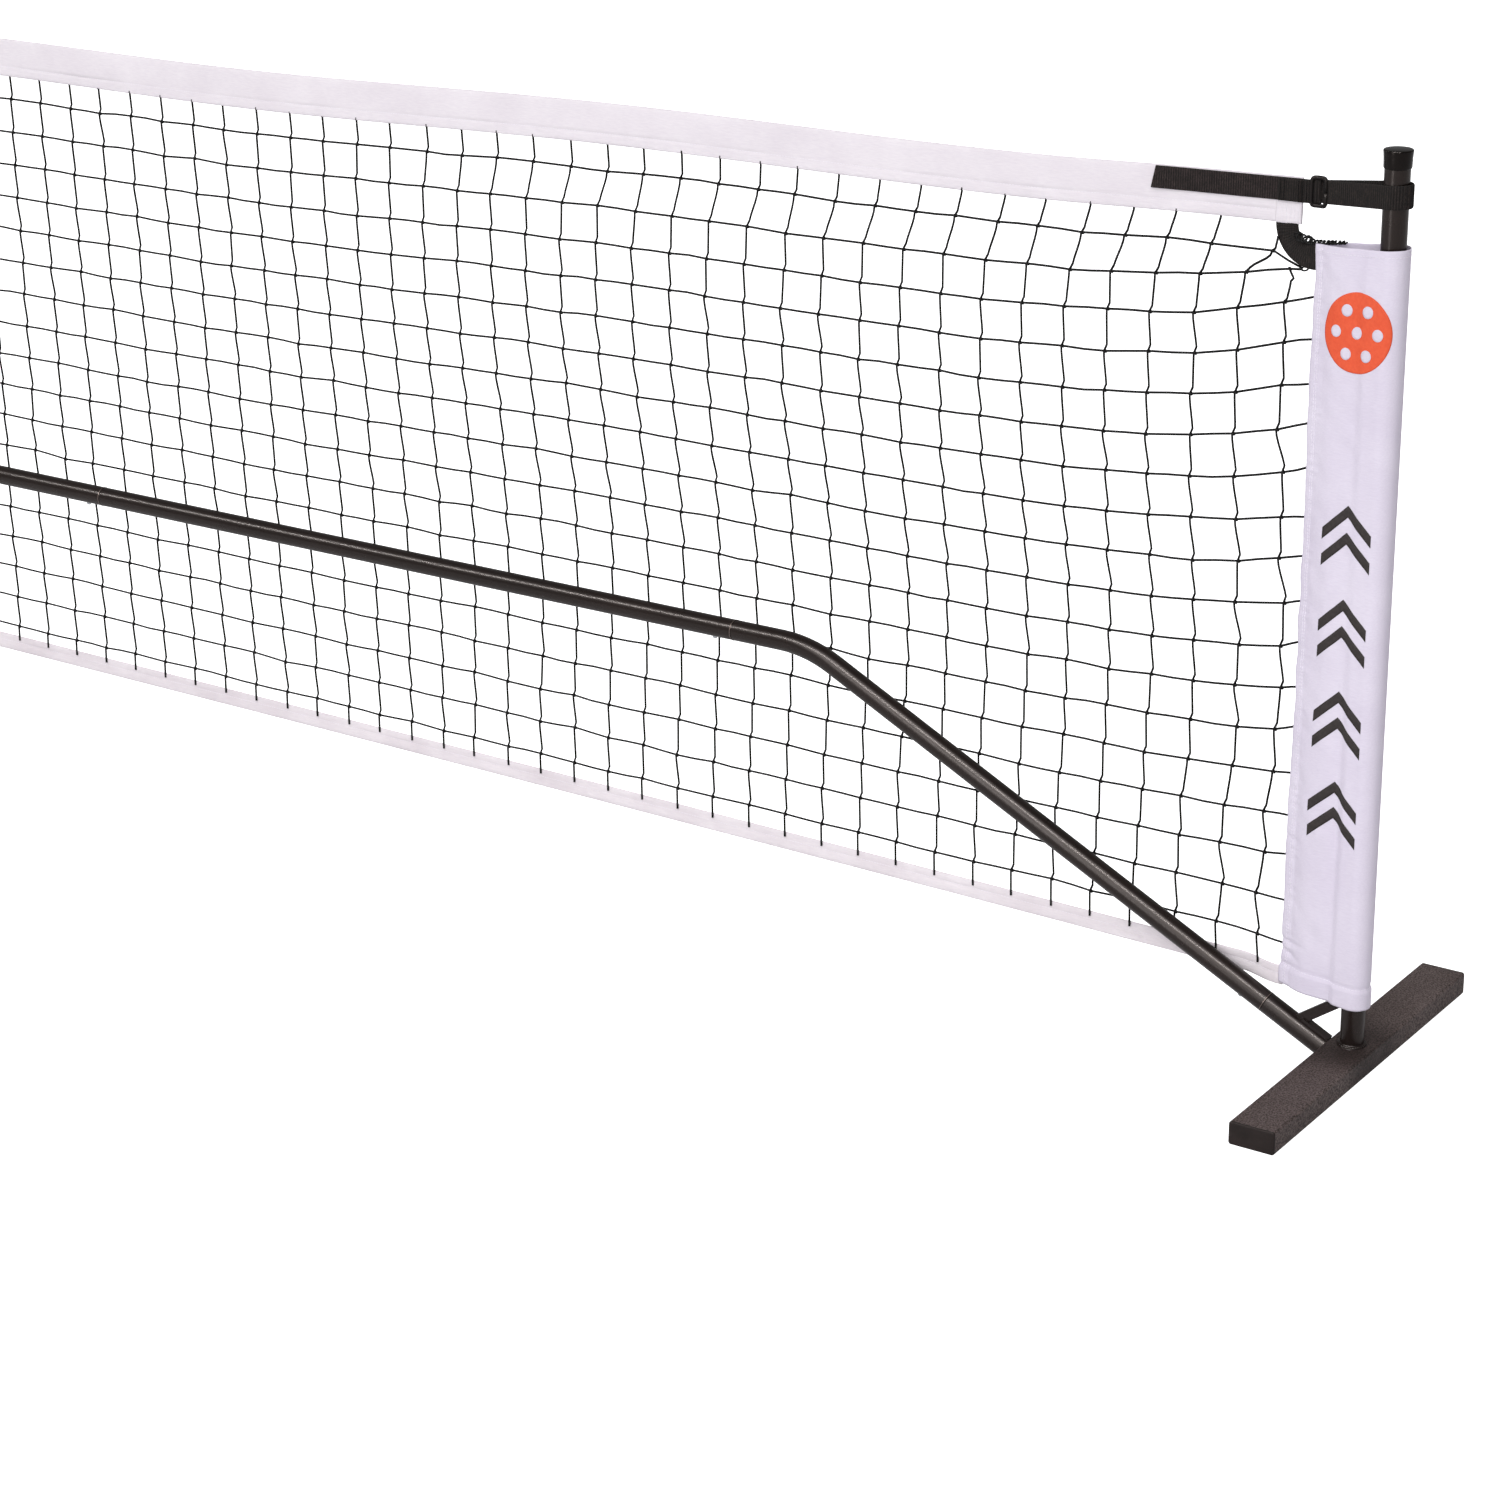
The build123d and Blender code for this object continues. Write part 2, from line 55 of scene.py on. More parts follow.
# ---- places taken from the frame -----------------------------------------------------------------
POST_LOW, POST_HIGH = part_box("post_right")
POST_X = (POST_LOW.x + POST_HIGH.x) / 2
POST_R = (POST_HIGH.x - POST_LOW.x) / 2
BAND_LOW, BAND_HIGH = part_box("headband")
NET_Y = (BAND_LOW.y + BAND_HIGH.y) / 2
BAND_REACH = BAND_HIGH.x
BAND_H = 45 * MM
BAND_MID_Z = BAND_LOW.z + BAND_H
BAND_END_Z = BAND_HIGH.z
BAND_END = BAND_REACH - POST_X
FOOTBAND_LOW, FOOTBAND_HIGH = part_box("footband")
FOOTBAND_H = 21 * MM
FOOTBAND_MID_Z = FOOTBAND_HIGH.z
FOOTBAND_END_Z = FOOTBAND_LOW.z + FOOTBAND_H
SLEEVE_LOW, SLEEVE_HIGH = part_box("sleeve_right")
SLEEVE_EDGE = SLEEVE_LOW.x - POST_X
FOOTBAND_REACH = POST_X + SLEEVE_EDGE + 3 * MM
CORNER_LOW, CORNER_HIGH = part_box("corner_webbing_right")
STRAP_LOW, STRAP_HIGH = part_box("strap_right")
BUCKLE_LOW, BUCKLE_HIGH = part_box("buckle_right")
BUCKLE_X = (BUCKLE_LOW.x + BUCKLE_HIGH.x) / 2 - POST_X
STRAP_Y = (BUCKLE_LOW.y + BUCKLE_HIGH.y) / 2
DIAGONAL = math.radians(26.8)    # the slope of the tube that comes down to the foot

# ---- netting -------------------------------------------------------------------------------------
ROWS = 18
COLUMNS = 134
LAST_COLUMN = -112 * MM
HALF_NET = POST_X + LAST_COLUMN
COLUMN_PITCH = 48.7 * MM
CORD_R = 1.3 * MM
ROW_R = 1.25 * MM
TOP_ROW_DROP = 28 * MM           # from the headband's lower edge to the first row of knots
BOTTOM_ROW_MID = 127 * MM
BOTTOM_ROW_FALL = 11 * MM
KNOT_JOG = 1.6 * MM
EYE_X, EYE_Z = -94 * MM, 818.8 * MM
SEAM_Y = 5 * MM                  # the sleeve's seam stands nearer to the posts than the net does
SIGHT_X, SIGHT_Z = 0.46, 0.27    # how a place shifts for each metre that it comes forward, so that
                                 # it stays where the photograph shows it
CORNER_KNOTS = (                 # columns in from the end, row, x from the post, y from the seam, z
    (0, 0, EYE_X, 3 * MM, EYE_Z), (0, 1, -111 * MM, 5 * MM, 816 * MM),
    (1, 0, -130 * MM, 7 * MM, 831 * MM), (1, 1, -159 * MM, 9 * MM, 806 * MM),
)

# ---- cloth ---------------------------------------------------------------------------------------
CLOTH_T = 0.45 * MM
PRINT_T = 0.08 * MM
BAND_STEP = 8 * MM
BAND_SAG = 4 * MM
BAND_SWELL = 0.35 * MM
BAND_STITCH = 33.5 * MM          # from the band's top edge down to its line of stitching
FOOTBAND_STITCH = 9 * MM
STITCH_PITCH = 3.6 * MM
BOX_PITCH = 2.6 * MM
THREAD_R = 0.22 * MM
SLEEVE_ROWS, SLEEVE_COLUMNS = 400, 120
SLEEVE_HEM = 22 * MM
SLEEVE_SEAM = 9 * MM             # from the sleeve's edge to the seam that closes it
SLEEVE_R = 15.9 * MM
WRINKLES = (                     # in from the sleeve's edge: height, slope, length and depth in mm
    (121, -0.02, 42, 1.0), (111, -0.3, 32, 0.9), (94, -0.08, 30, 0.8),
    (236, -0.1, 22, 0.5), (455, 0.2, 26, 0.4),
)
HEADBAND_PROFILE = (             # a folded band's front half: y, and z from its top edge, in mm
    (-0.25, -35), (-0.25, -40), (-0.3, -44), (-0.55, -44.9), (-0.85, -44.2), (-0.95, -41),
    (-0.95, -36.5), (-0.85, -34.4), (-0.5, -33.5), (-0.9, -32.4), (-1.2, -29), (-1.45, -22),
    (-1.55, -14), (-1.6, -7), (-1.45, -2.6), (-0.9, -0.6), (0, 0),
)
FOOTBAND_PROFILE = (
    (-0.2, -13), (-0.2, -19), (-0.3, -20.4), (-0.55, -20.9), (-0.8, -20.2), (-0.85, -16),
    (-0.8, -10.2), (-0.5, -9), (-0.8, -7.8), (-0.9, -5), (-0.9, -2), (-0.6, -0.4), (0, 0),
)

# ---- webbing -------------------------------------------------------------------------------------
RIB_PITCH = 2.6 * MM
RIB_DEPTH = 0.38 * MM
TAPE_WIDE = np.array([-1, -0.97, -0.86, -0.5, 0, 0.5, 0.86, 0.97, 1])
TAPE_DEEP = np.array([0.3, 0.8, 1, 1, 1, 1, 1, 0.8, 0.3])
UP = (0, 0, 1)


# ---- meshes --------------------------------------------------------------------------------------
def lattice(points, ring=False, caps=False):
    """Vertices and faces over a grid of points (rows, columns, 3), or round a closed ring."""
    rows, columns = points.shape[:2]
    index = np.arange(rows * columns).reshape(rows, columns)
    ends = [index[0, ::-1].tolist(), index[-1].tolist()] if caps else []
    if ring:
        index = np.concatenate([index, index[:, :1]], axis=1)
    corners = [index[:-1, :-1], index[:-1, 1:], index[1:, 1:], index[1:, :-1]]
    return points.reshape(-1, 3), np.stack(corners, axis=-1).reshape(-1, 4).tolist() + ends


def copies(faces, count, step):
    """The same faces for a number of copies, each of which has this many vertices."""
    faces = np.array(faces)
    repeated = faces + np.arange(count)[:, None, None] * step
    return repeated.reshape(-1, faces.shape[1]).tolist()


def tubes(paths, radius, sides=6, reference=(0, 1, 0)):
    """Round cords along paths, an array (cords, points, 3), closed at both ends."""
    paths = np.asarray(paths, float)
    cords, count = paths.shape[:2]
    along = np.gradient(paths, axis=1)
    along /= np.linalg.norm(along, axis=2, keepdims=True)
    side = np.cross(along, reference)
    side /= np.linalg.norm(side, axis=2, keepdims=True)
    up = np.cross(side, along)
    turn = np.arange(sides) * 2 * math.pi / sides
    radius = np.broadcast_to(radius, (cords, count))[:, :, None, None]
    spokes = np.cos(turn)[:, None] * side[:, :, None] + np.sin(turn)[:, None] * up[:, :, None]
    points = paths[:, :, None] + radius * spokes
    faces = []
    one = lattice(points[0], ring=True, caps=True)[1]
    for group in (one[:-2], one[-2:-1], one[-1:]):
        faces += copies(group, cords, count * sides)
    return points.reshape(-1, 3), faces


def thicken(made, thickness):
    shell = made.modifiers.new("thickness", "SOLIDIFY")
    shell.thickness = thickness
    shell.offset = 0


def piece(name, parts, finish, body="frame", stands_for=(), thickness=0, side=1):
    """One object made of (vertices, faces) parts, riding on a body and mirrored by side -1."""
    vertices, faces, start = [], [], 0
    for points, polygons in parts:
        vertices.append(points)
        faces += [[start + i for i in polygon] for polygon in polygons]
        start += len(points)
    vertices = np.concatenate(vertices) * (side, 1, 1)
    mesh = bpy.data.meshes.new(name)
    mesh.from_pydata(vertices.tolist(), [], faces)
    if side < 0:
        mesh.flip_normals()
    mesh.polygons.foreach_set("use_smooth", [True] * len(mesh.polygons))
    mesh.materials.append(finish)
    mesh.update()
    made = bpy.data.objects.new(name, mesh)
    bpy.context.scene.collection.objects.link(made)
    if thickness:
        thicken(made, thickness)
    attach(made, body)
    if stands_for:
        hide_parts(*stands_for)
    return made


def drift(seed, x, z, wavelength):
    """Smooth seeded noise over a surface, mostly between -1 and 1, at about this wavelength."""
    random = np.random.default_rng(seed)
    waves = 7
    total = 0
    for _ in range(waves):
        turn, phase = random.uniform(0, 2 * math.pi, 2)
        pace = 2 * math.pi / wavelength * random.uniform(0.6, 1.6)
        total = total + np.sin(pace * (x * math.cos(turn) + z * math.sin(turn)) + phase)
    return total / math.sqrt(waves)


def ease(value, low, high):
    """0 below low, 1 above high, and a smooth step between."""
    t = np.clip((value - low) / (high - low), 0, 1)
    return t * t * (3 - 2 * t)


def bell(value, centre, width):
    return np.exp(-(((value - centre) / width) ** 2))


def rounded_box(turn, half_w, half_h, square):
    """The two coordinates of places round a box. Its corners are tighter the larger square is."""
    c, s = np.cos(turn), np.sin(turn)
    wide = half_w * np.sign(c) * np.abs(c) ** (2 / square)
    return wide, half_h * np.sign(s) * np.abs(s) ** (2 / square)


def distances(path):
    """How far along a path each of its points is."""
    return np.concatenate([[0], np.cumsum(np.linalg.norm(np.diff(path, axis=0), axis=1))])


def spread(path, values, count):
    """Values given at a path's points, taken at even steps along it."""
    lengths = distances(path)
    stations = np.linspace(0, lengths[-1], count)
    return np.stack([np.interp(stations, lengths, axis) for axis in values.T], axis=1)


def walk(path, step):
    """Points at even steps along a path, an array (points, 3)."""
    return spread(path, path, max(2, round(distances(path)[-1] / step) + 1))


class Patch:
    """A surface sampled on a grid of points, which can be asked for places on it or above it."""

    def __init__(self, points):
        self.points = points
        down, across = np.gradient(points, axis=0), np.gradient(points, axis=1)
        normals = np.cross(down, across)
        self.normals = normals / np.linalg.norm(normals, axis=2, keepdims=True)

    def at(self, row, column, lift=0.0):
        """Places at fractional rows and columns of the grid, lifted along the surface's normal."""
        rows, columns = self.points.shape[:2]
        row, column = np.broadcast_arrays(np.asarray(row, float), np.asarray(column, float))
        row = np.clip(row, 0, rows - 1.001)
        column = np.clip(column, 0, columns - 1.001)
        i, j = row.astype(int), column.astype(int)
        u, v = (row - i)[..., None], (column - j)[..., None]

        def blend(grid):
            upper = grid[i, j] * (1 - v) + grid[i, j + 1] * v
            lower = grid[i + 1, j] * (1 - v) + grid[i + 1, j + 1] * v
            return upper * (1 - u) + lower * u

        return blend(self.points) + np.asarray(lift)[..., None] * blend(self.normals)

    def facing(self, row, column):
        """1 where the normals point to the camera's side, and -1 where they point away from it."""
        return -math.copysign(1, self.normals[int(row), int(column), 1])


def stitches(patch, rows, columns, lift, pitch=STITCH_PITCH):
    """A run of thread along a line of fractional rows and columns: one short cord per stitch."""
    line = walk(patch.at(rows, columns, lift), pitch)
    where = np.linspace(0, 1, len(line))
    share = np.linspace(0, 1, len(rows))
    gap = 0.16
    bow = np.array([-0.6, 0.55, 0.8, 0.55, -0.6]) * THREAD_R
    steps = np.linspace(gap, 1 - gap, len(bow))
    spots = where[:-1, None] + (where[1] - where[0]) * steps
    row, column = np.interp(spots, share, rows), np.interp(spots, share, columns)
    return tubes(patch.at(row, column, lift + bow[None, :]), THREAD_R, sides=5)


# ---- finishes ------------------------------------------------------------------------------------
def linear(*colour):
    """A display colour from 0 to 255 as the renderer's linear one."""
    share = [c / 255 for c in colour]
    return [s / 12.92 if s <= 0.04045 else ((s + 0.055) / 1.055) ** 2.4 for s in share] + [1]


WHITE = linear(255, 255, 255)
WARM_GLOSS = (1, 0.9, 0.86, 1)


class Finish:
    """A node material: a Principled shader with textures in the object's own coordinates."""

    def __init__(self, name, roughness, metallic=0.0, **sockets):
        self.material = bpy.data.materials.new(name)
        self.material.use_nodes = True
        self.nodes = self.material.node_tree.nodes
        self.links = self.material.node_tree.links
        self.shader = self.nodes["Principled BSDF"]
        self.shader.inputs["Metallic"].default_value = metallic
        self.shader.inputs["Roughness"].default_value = roughness
        for socket, value in sockets.items():
            self.shader.inputs[socket.replace("_", " ")].default_value = value
        self.place = self.nodes.new("ShaderNodeTexCoord").outputs["Object"]
        self.height = None

    def node(self, kind, values, links, **settings):
        """A node with its settings, its inputs' values and what is linked to its inputs."""
        made = self.nodes.new(kind)
        for setting, value in settings.items():
            setattr(made, setting, value)
        for socket, value in values.items():
            made.inputs[socket].default_value = value
        for socket, source in links.items():
            self.links.new(source, made.inputs[socket])
        return made.outputs

    def stretch(self, scale):
        return self.node("ShaderNodeMapping", {"Scale": scale}, {"Vector": self.place})["Vector"]

    def noise(self, size, detail=3.0, stretch=(1, 1, 1)):
        """Noise with features of about this size in metres."""
        values = {"Scale": 1 / size, "Detail": detail}
        return self.node("ShaderNodeTexNoise", values, {"Vector": self.stretch(stretch)})["Fac"]

    def bands(self, pitch, axis, distortion=0.6):
        """Parallel ridges this far apart in metres, across an axis."""
        values = {"Scale": 2 * math.pi / 20 / pitch, "Distortion": distortion, "Detail": 1.0}
        links = {"Vector": self.stretch((1, 1, 1))}
        return self.node("ShaderNodeTexWave", values, links, bands_direction=axis)["Fac"]

    def away(self, axis, near, far):
        """0 nearer than one distance from the middle along an axis, and 1 beyond another."""
        place = self.node("ShaderNodeSeparateXYZ", {}, {"Vector": self.place})[axis]
        size = self.node("ShaderNodeMath", {}, {0: place}, operation="ABSOLUTE")["Value"]
        return self.node("ShaderNodeMapRange", {"From Min": near, "From Max": far},
                         {"Value": size}, interpolation_type="SMOOTHSTEP")["Result"]

    def ramp(self, value, *stops):
        """A value turned into colours. Stops are (place, colour)."""
        node = self.nodes.new("ShaderNodeValToRGB")
        for element, (place, colour) in zip(node.color_ramp.elements, stops):
            element.position = place
            element.color = colour
        self.links.new(value, node.inputs["Fac"])
        return node.outputs["Color"]

    def multiply(self, first, second):
        return self.node("ShaderNodeMix", {"Factor": 1.0}, {"A": first, "B": second},
                         data_type="RGBA", blend_type="MULTIPLY")["Result"]

    def colour(self, value):
        self.links.new(value, self.shader.inputs["Base Color"])
        return self

    def rough(self, value, low, high):
        values = {"To Min": low, "To Max": high}
        result = self.node("ShaderNodeMapRange", values, {"Value": value})["Result"]
        self.links.new(result, self.shader.inputs["Roughness"])
        return self

    def bump(self, value, depth):
        """Relief this deep in metres, added to any that the finish already has."""
        links = {"Height": value, "Normal": self.height} if self.height else {"Height": value}
        self.height = self.node("ShaderNodeBump", {"Distance": depth}, links)["Normal"]
        self.links.new(self.height, self.shader.inputs["Normal"])
        return self


def powder_coat(name, dark, light, low, high, grain_depth, gloss, grain_size, fleck, shade_by_upright=None):
    """Textured powder coat: an uneven brown-black tone, fine grain, and orange peel under it.

    On a foot, painted shade darkens it next to the upright's weld.
    """
    made = Finish(name, low, Specular_IOR_Level=gloss, Specular_Tint=WARM_GLOSS)
    broad = made.noise(120 * MM, 3)
    grain = made.noise(grain_size, 4)
    tone = made.ramp(broad, (0.3, dark), (0.7, light))
    speckle = made.ramp(grain, (0.38, fleck), (0.62, WHITE))
    if shade_by_upright:
        # painted shade: the colour darkens towards the upright standing on the foot
        shade = made.ramp(made.away("Y", 22 * MM, 85 * MM), (0, shade_by_upright), (1, WHITE))
        tone = made.multiply(tone, shade)
    made.colour(made.multiply(tone, speckle))
    made.rough(made.noise(14 * MM, 3), low, high)
    return made.bump(grain, grain_depth).bump(made.noise(6 * MM), 0.004 * MM).material


def moulded(name, dark, light, low, high):
    """Moulded plastic with a fine spark texture and faint flow marks."""
    made = Finish(name, low, Specular_IOR_Level=0.2, Specular_Tint=WARM_GLOSS)
    made.colour(made.ramp(made.noise(18 * MM, 4), (0.3, dark), (0.75, light)))
    made.rough(made.noise(5 * MM, 4), low, high)
    return made.bump(made.noise(0.5 * MM, 2), 0.03 * MM).material


def metal(name, dark, light, low, high):
    """Drawn or plated metal with fine scratches along X."""
    made = Finish(name, low, metallic=1.0)
    scratch = made.noise(0.5 * MM, 3, stretch=(0.08, 1, 1))
    made.colour(made.ramp(made.noise(4 * MM, 4), (0.3, dark), (0.7, light)))
    made.rough(scratch, low, high)
    return made.bump(scratch, 0.003 * MM).material


def woven(name, shade, light, pitch, relief):
    """Plain-woven cloth: two crossing sets of yarns, slubs, and a soft unevenness of tone."""
    made = Finish(name, 0.8, Sheen_Weight=0.05, Specular_IOR_Level=0.2)
    warp = made.bands(pitch, "X")
    weft = made.bands(pitch, "Z")
    tone = made.ramp(made.noise(60 * MM, 4), (0.3, shade), (0.7, light))
    slub = made.noise(1.2 * MM, 3, stretch=(0.15, 1, 1))
    yarn = made.ramp(slub, (0.3, linear(248, 247, 249)), (0.7, WHITE))
    made.colour(made.multiply(tone, yarn))
    made.rough(slub, 0.7, 0.9)
    return made.bump(warp, relief).bump(weft, relief).bump(slub, 0.4 * relief).material


def webbing_finish(name, dark, light, lint):
    """Heavy woven tape: ribs across it, yarns along its edges' direction, and lint on top."""
    made = Finish(name, 0.85, Sheen_Weight=0.03, Specular_IOR_Level=0.2)
    yarn = made.noise(0.7 * MM, 3, stretch=(1, 1, 0.35))
    tone = made.ramp(made.noise(9 * MM, 4), (0.3, dark), (0.75, light))
    fuzz = made.ramp(yarn, (0.4, linear(120, 116, 116)), (0.64, lint))
    ribs = made.ramp(made.bands(RIB_PITCH, "X"), (0.15, linear(165, 160, 160)), (0.75, WHITE))
    made.colour(made.multiply(made.multiply(tone, fuzz), ribs))
    made.rough(yarn, 0.7, 0.95)
    return made.bump(yarn, 0.12 * MM).bump(made.bands(0.65 * MM, "Z"), 0.05 * MM).material


def twisted(name, dark, light):
    """Twisted cord or thread."""
    made = Finish(name, 0.65, Specular_IOR_Level=0.15)
    strand = made.bands(0.9 * MM, "DIAGONAL", distortion=1.2)
    made.colour(made.ramp(made.noise(2.5 * MM, 3), (0.3, dark), (0.7, light)))
    made.rough(strand, 0.5, 0.7)
    return made.bump(strand, 0.08 * MM).material


def ink(name, dark, light):
    """Screen-printed ink, thin enough for the cloth's weave to show through."""
    made = Finish(name, 0.7, Specular_IOR_Level=0.3)
    made.colour(made.ramp(made.noise(3 * MM, 4), (0.35, dark), (0.65, light)))
    made.rough(made.noise(1.5 * MM), 0.6, 0.8)
    for axis in "XZ":
        made.bump(made.bands(0.5 * MM, axis), 0.03 * MM)
    return made.material


COAT = powder_coat("powder_coat", linear(22, 14, 12), linear(31, 21, 18), 0.26, 0.3, 0.0015 * MM,
                   gloss=0.42, grain_size=1.1 * MM, fleck=linear(190, 184, 182))
# The foot coat's last colour is painted shade, darkening the foot next to each upright.
FOOT_COAT = powder_coat("foot_coat", linear(93, 80, 77), linear(113, 100, 98), 0.5, 0.65,
                        0.2 * MM, gloss=0.25, grain_size=1.8 * MM, fleck=linear(112, 104, 102),
                        shade_by_upright=linear(165, 160, 160))
PLASTIC = moulded("black_plastic", linear(7, 4, 3), linear(11, 7, 6), 0.14, 0.2)
END_PLASTIC = moulded("foot_plastic", linear(30, 25, 24), linear(42, 35, 34), 0.45, 0.6)
BUCKLE_PLASTIC = moulded("buckle_plastic", linear(14, 12, 12), linear(22, 19, 19), 0.3, 0.5)
SPRING_STEEL = metal("spring_steel", linear(120, 120, 122), linear(160, 160, 162), 0.25, 0.4)
WORN_EDGE = metal("worn_edge", linear(100, 88, 84), linear(140, 126, 120), 0.35, 0.5)
ZINC = metal("zinc_button", linear(175, 178, 182), linear(215, 217, 220), 0.2, 0.38)
SLEEVE_CLOTH = woven("sleeve_cloth", linear(221, 213, 229), linear(228, 221, 235),
                     0.55 * MM, 0.03 * MM)
BAND_CLOTH = woven("headband_cloth", linear(230, 223, 229), linear(237, 231, 236),
                   0.5 * MM, 0.03 * MM)
FOOTBAND_CLOTH = woven("footband_cloth", linear(226, 217, 222), linear(239, 232, 236),
                       0.7 * MM, 0.05 * MM)
WEBBING = webbing_finish("black_webbing", linear(38, 31, 29), linear(52, 44, 41),
                         linear(255, 250, 248))
HOOK_TAPE = webbing_finish("hook_and_loop", linear(48, 38, 37), linear(72, 60, 59),
                           linear(255, 252, 252))
CORD = twisted("net_cord", linear(7, 6, 6), linear(13, 11, 12))
BLACK_THREAD = twisted("black_thread", linear(6, 5, 5), linear(13, 11, 11))
WHITE_THREAD = twisted("white_thread", linear(234, 229, 238), linear(244, 241, 247))
ORANGE_INK = ink("orange_ink", linear(228, 84, 48), linear(234, 92, 54))
DARK_INK = ink("dark_ink", linear(44, 38, 37), linear(54, 47, 46))

BARE_NODES = {
    "button_springs": SPRING_STEEL,
    "foot_end_caps": END_PLASTIC,
    "centre_post_cap": PLASTIC,
    "foot_right": FOOT_COAT,
    "foot_left": FOOT_COAT,
    "foot_centre": FOOT_COAT,
}


def carried_over():
    """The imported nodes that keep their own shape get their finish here."""
    for name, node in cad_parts.items():
        finish = BARE_NODES.get(name, ZINC if "_button_" in name else COAT)
        node.data.materials.clear()
        node.data.materials.append(finish)


# ---- netting -------------------------------------------------------------------------------------
def wave_of_band(x):
    """How far the headband hangs off its fair line between the places that hold it."""
    unseen = ease(-x, -0.6, 0.6)     # beyond the picture the waves are less regular
    size = 3 * MM * (1 - 0.5 * unseen * (1 + np.sin(2.3 * x)) / 2)
    shift = 0.22 * unseen * np.sin(1.9 * x)
    sway = 1 * MM + size * np.cos(2 * math.pi * (x - POST_X + 1.43 + shift))
    held = (1 - bell(x, 0, 0.3)) * ease(BAND_REACH - np.abs(x), 0, 0.3)
    return -sway * held


def band_top(x):
    t = np.abs(x) / BAND_REACH
    return BAND_MID_Z + (BAND_END_Z - BAND_MID_Z) * t - 4 * BAND_SAG * t * (1 - t) + wave_of_band(x)


def footband_top(x):
    t = np.abs(x) / FOOTBAND_HIGH.x
    return FOOTBAND_MID_Z + (FOOTBAND_END_Z - FOOTBAND_MID_Z) * t * t


def net_y(x, z):
    """The net's plane, drawn forward to the sleeve's seam, low down only past the diagonal."""
    from_post = np.abs(x) - POST_X
    start = -135 * MM - 65 * MM * ease(z, 90 * MM, 120 * MM)
    return NET_Y + (SEAM_Y - NET_Y) * ease(from_post, start, -90 * MM)


def knot_places(x, row):
    """The x and z of these columns' and rows' knots, drawn up towards the corner webbing."""
    from_post = np.abs(x) - POST_X
    share = row / (ROWS - 1)
    top = band_top(x) - BAND_H - TOP_ROW_DROP
    bottom = BOTTOM_ROW_MID - BOTTOM_ROW_FALL * (x / HALF_NET) ** 2
    lift = 40 * MM * np.exp((from_post - LAST_COLUMN) / 0.105)
    lift = lift * (1 - np.exp(-row / 0.9)) * (1 - share**1.5)
    z = top * (1 - share) + bottom * share + lift
    sway = 1.6 * np.exp(-row / 0.6) - 0.85 * np.sin(2 * math.pi * row / 14)
    lean = 8 * MM * sway * ease(from_post, -1.5, -0.9)
    lean -= 15 * MM * share * bell(from_post, -2.1, 0.5)
    return x + np.sign(x) * lean, z


def upright(nodes, steps=6):
    """A cord down through its knots: it comes to each on the right and leaves it on the left."""
    start, end = nodes[:-1].copy(), nodes[1:].copy()
    jog = np.array([KNOT_JOG, 0, 0.5 * KNOT_JOG])
    start[1:] -= jog
    end[:-1] += jog
    length = np.linalg.norm(end - start, axis=1)[:, None, None]
    down = np.array([0, 0, -1]) * length * 0.75
    t = np.linspace(0, 1, steps, endpoint=False)[None, :, None]
    start, end = start[:, None], end[:, None]
    curve = (2 * t**3 - 3 * t**2 + 1) * start + (t**3 - 2 * t**2 + t) * down
    curve = curve + (3 * t**2 - 2 * t**3) * end + (t**3 - t**2) * down
    return np.concatenate([curve.reshape(-1, 3), nodes[-1:]])


def knots(places):
    """A turn of cord round each crossing: a small tilted ring."""
    around, across = 9, 5
    large, small = 1.7 * MM, 0.85 * MM
    a = np.arange(around) * 2 * math.pi / around
    b = np.arange(across) * 2 * math.pi / across
    out = large + small * np.cos(b)
    thick = np.broadcast_to(small * np.sin(b), (around, across))
    ring = np.stack([thick, np.outer(np.cos(a), out), np.outer(np.sin(a), out)], axis=-1)
    ring = ring @ np.array(Matrix.Rotation(math.radians(38), 3, "Y"))
    points, faces = lattice(ring, ring=True)
    last = (around - 1) * across
    faces += [[last + j, last + (j + 1) % across, (j + 1) % across, j] for j in range(across)]
    vertices = (places[:, None] + points[None]).reshape(-1, 3)
    return vertices, copies(faces, len(places), len(points))


def row_end(last, k, sign, random):
    """Where a row runs into the sleeve's seam, or for the two top rows into the corner's eye."""
    if k < 2:
        return [sign * (POST_X + EYE_X - 3 * MM), SEAM_Y + 3 * MM, EYE_Z - k * 1.2 * MM]
    rise = 12 * MM * (1 - k / (ROWS - 1)) ** 0.8 + 2.0 * MM * random.normal()
    return [sign * (POST_X + SLEEVE_EDGE + 8 * MM), SEAM_Y, last[2] + rise]


def eye(centre, sign):
    """The small eye of cord that gathers the two top rows and ties them to the corner webbing."""
    turn = np.linspace(0, 2 * math.pi, 25)
    across, rise = 3.6 * MM * np.cos(turn), 1.9 * MM * np.sin(turn)
    loop = np.stack([across, np.zeros_like(turn), rise + 0.18 * sign * across], axis=-1)
    return tubes([loop + centre], 0.9 * MM)


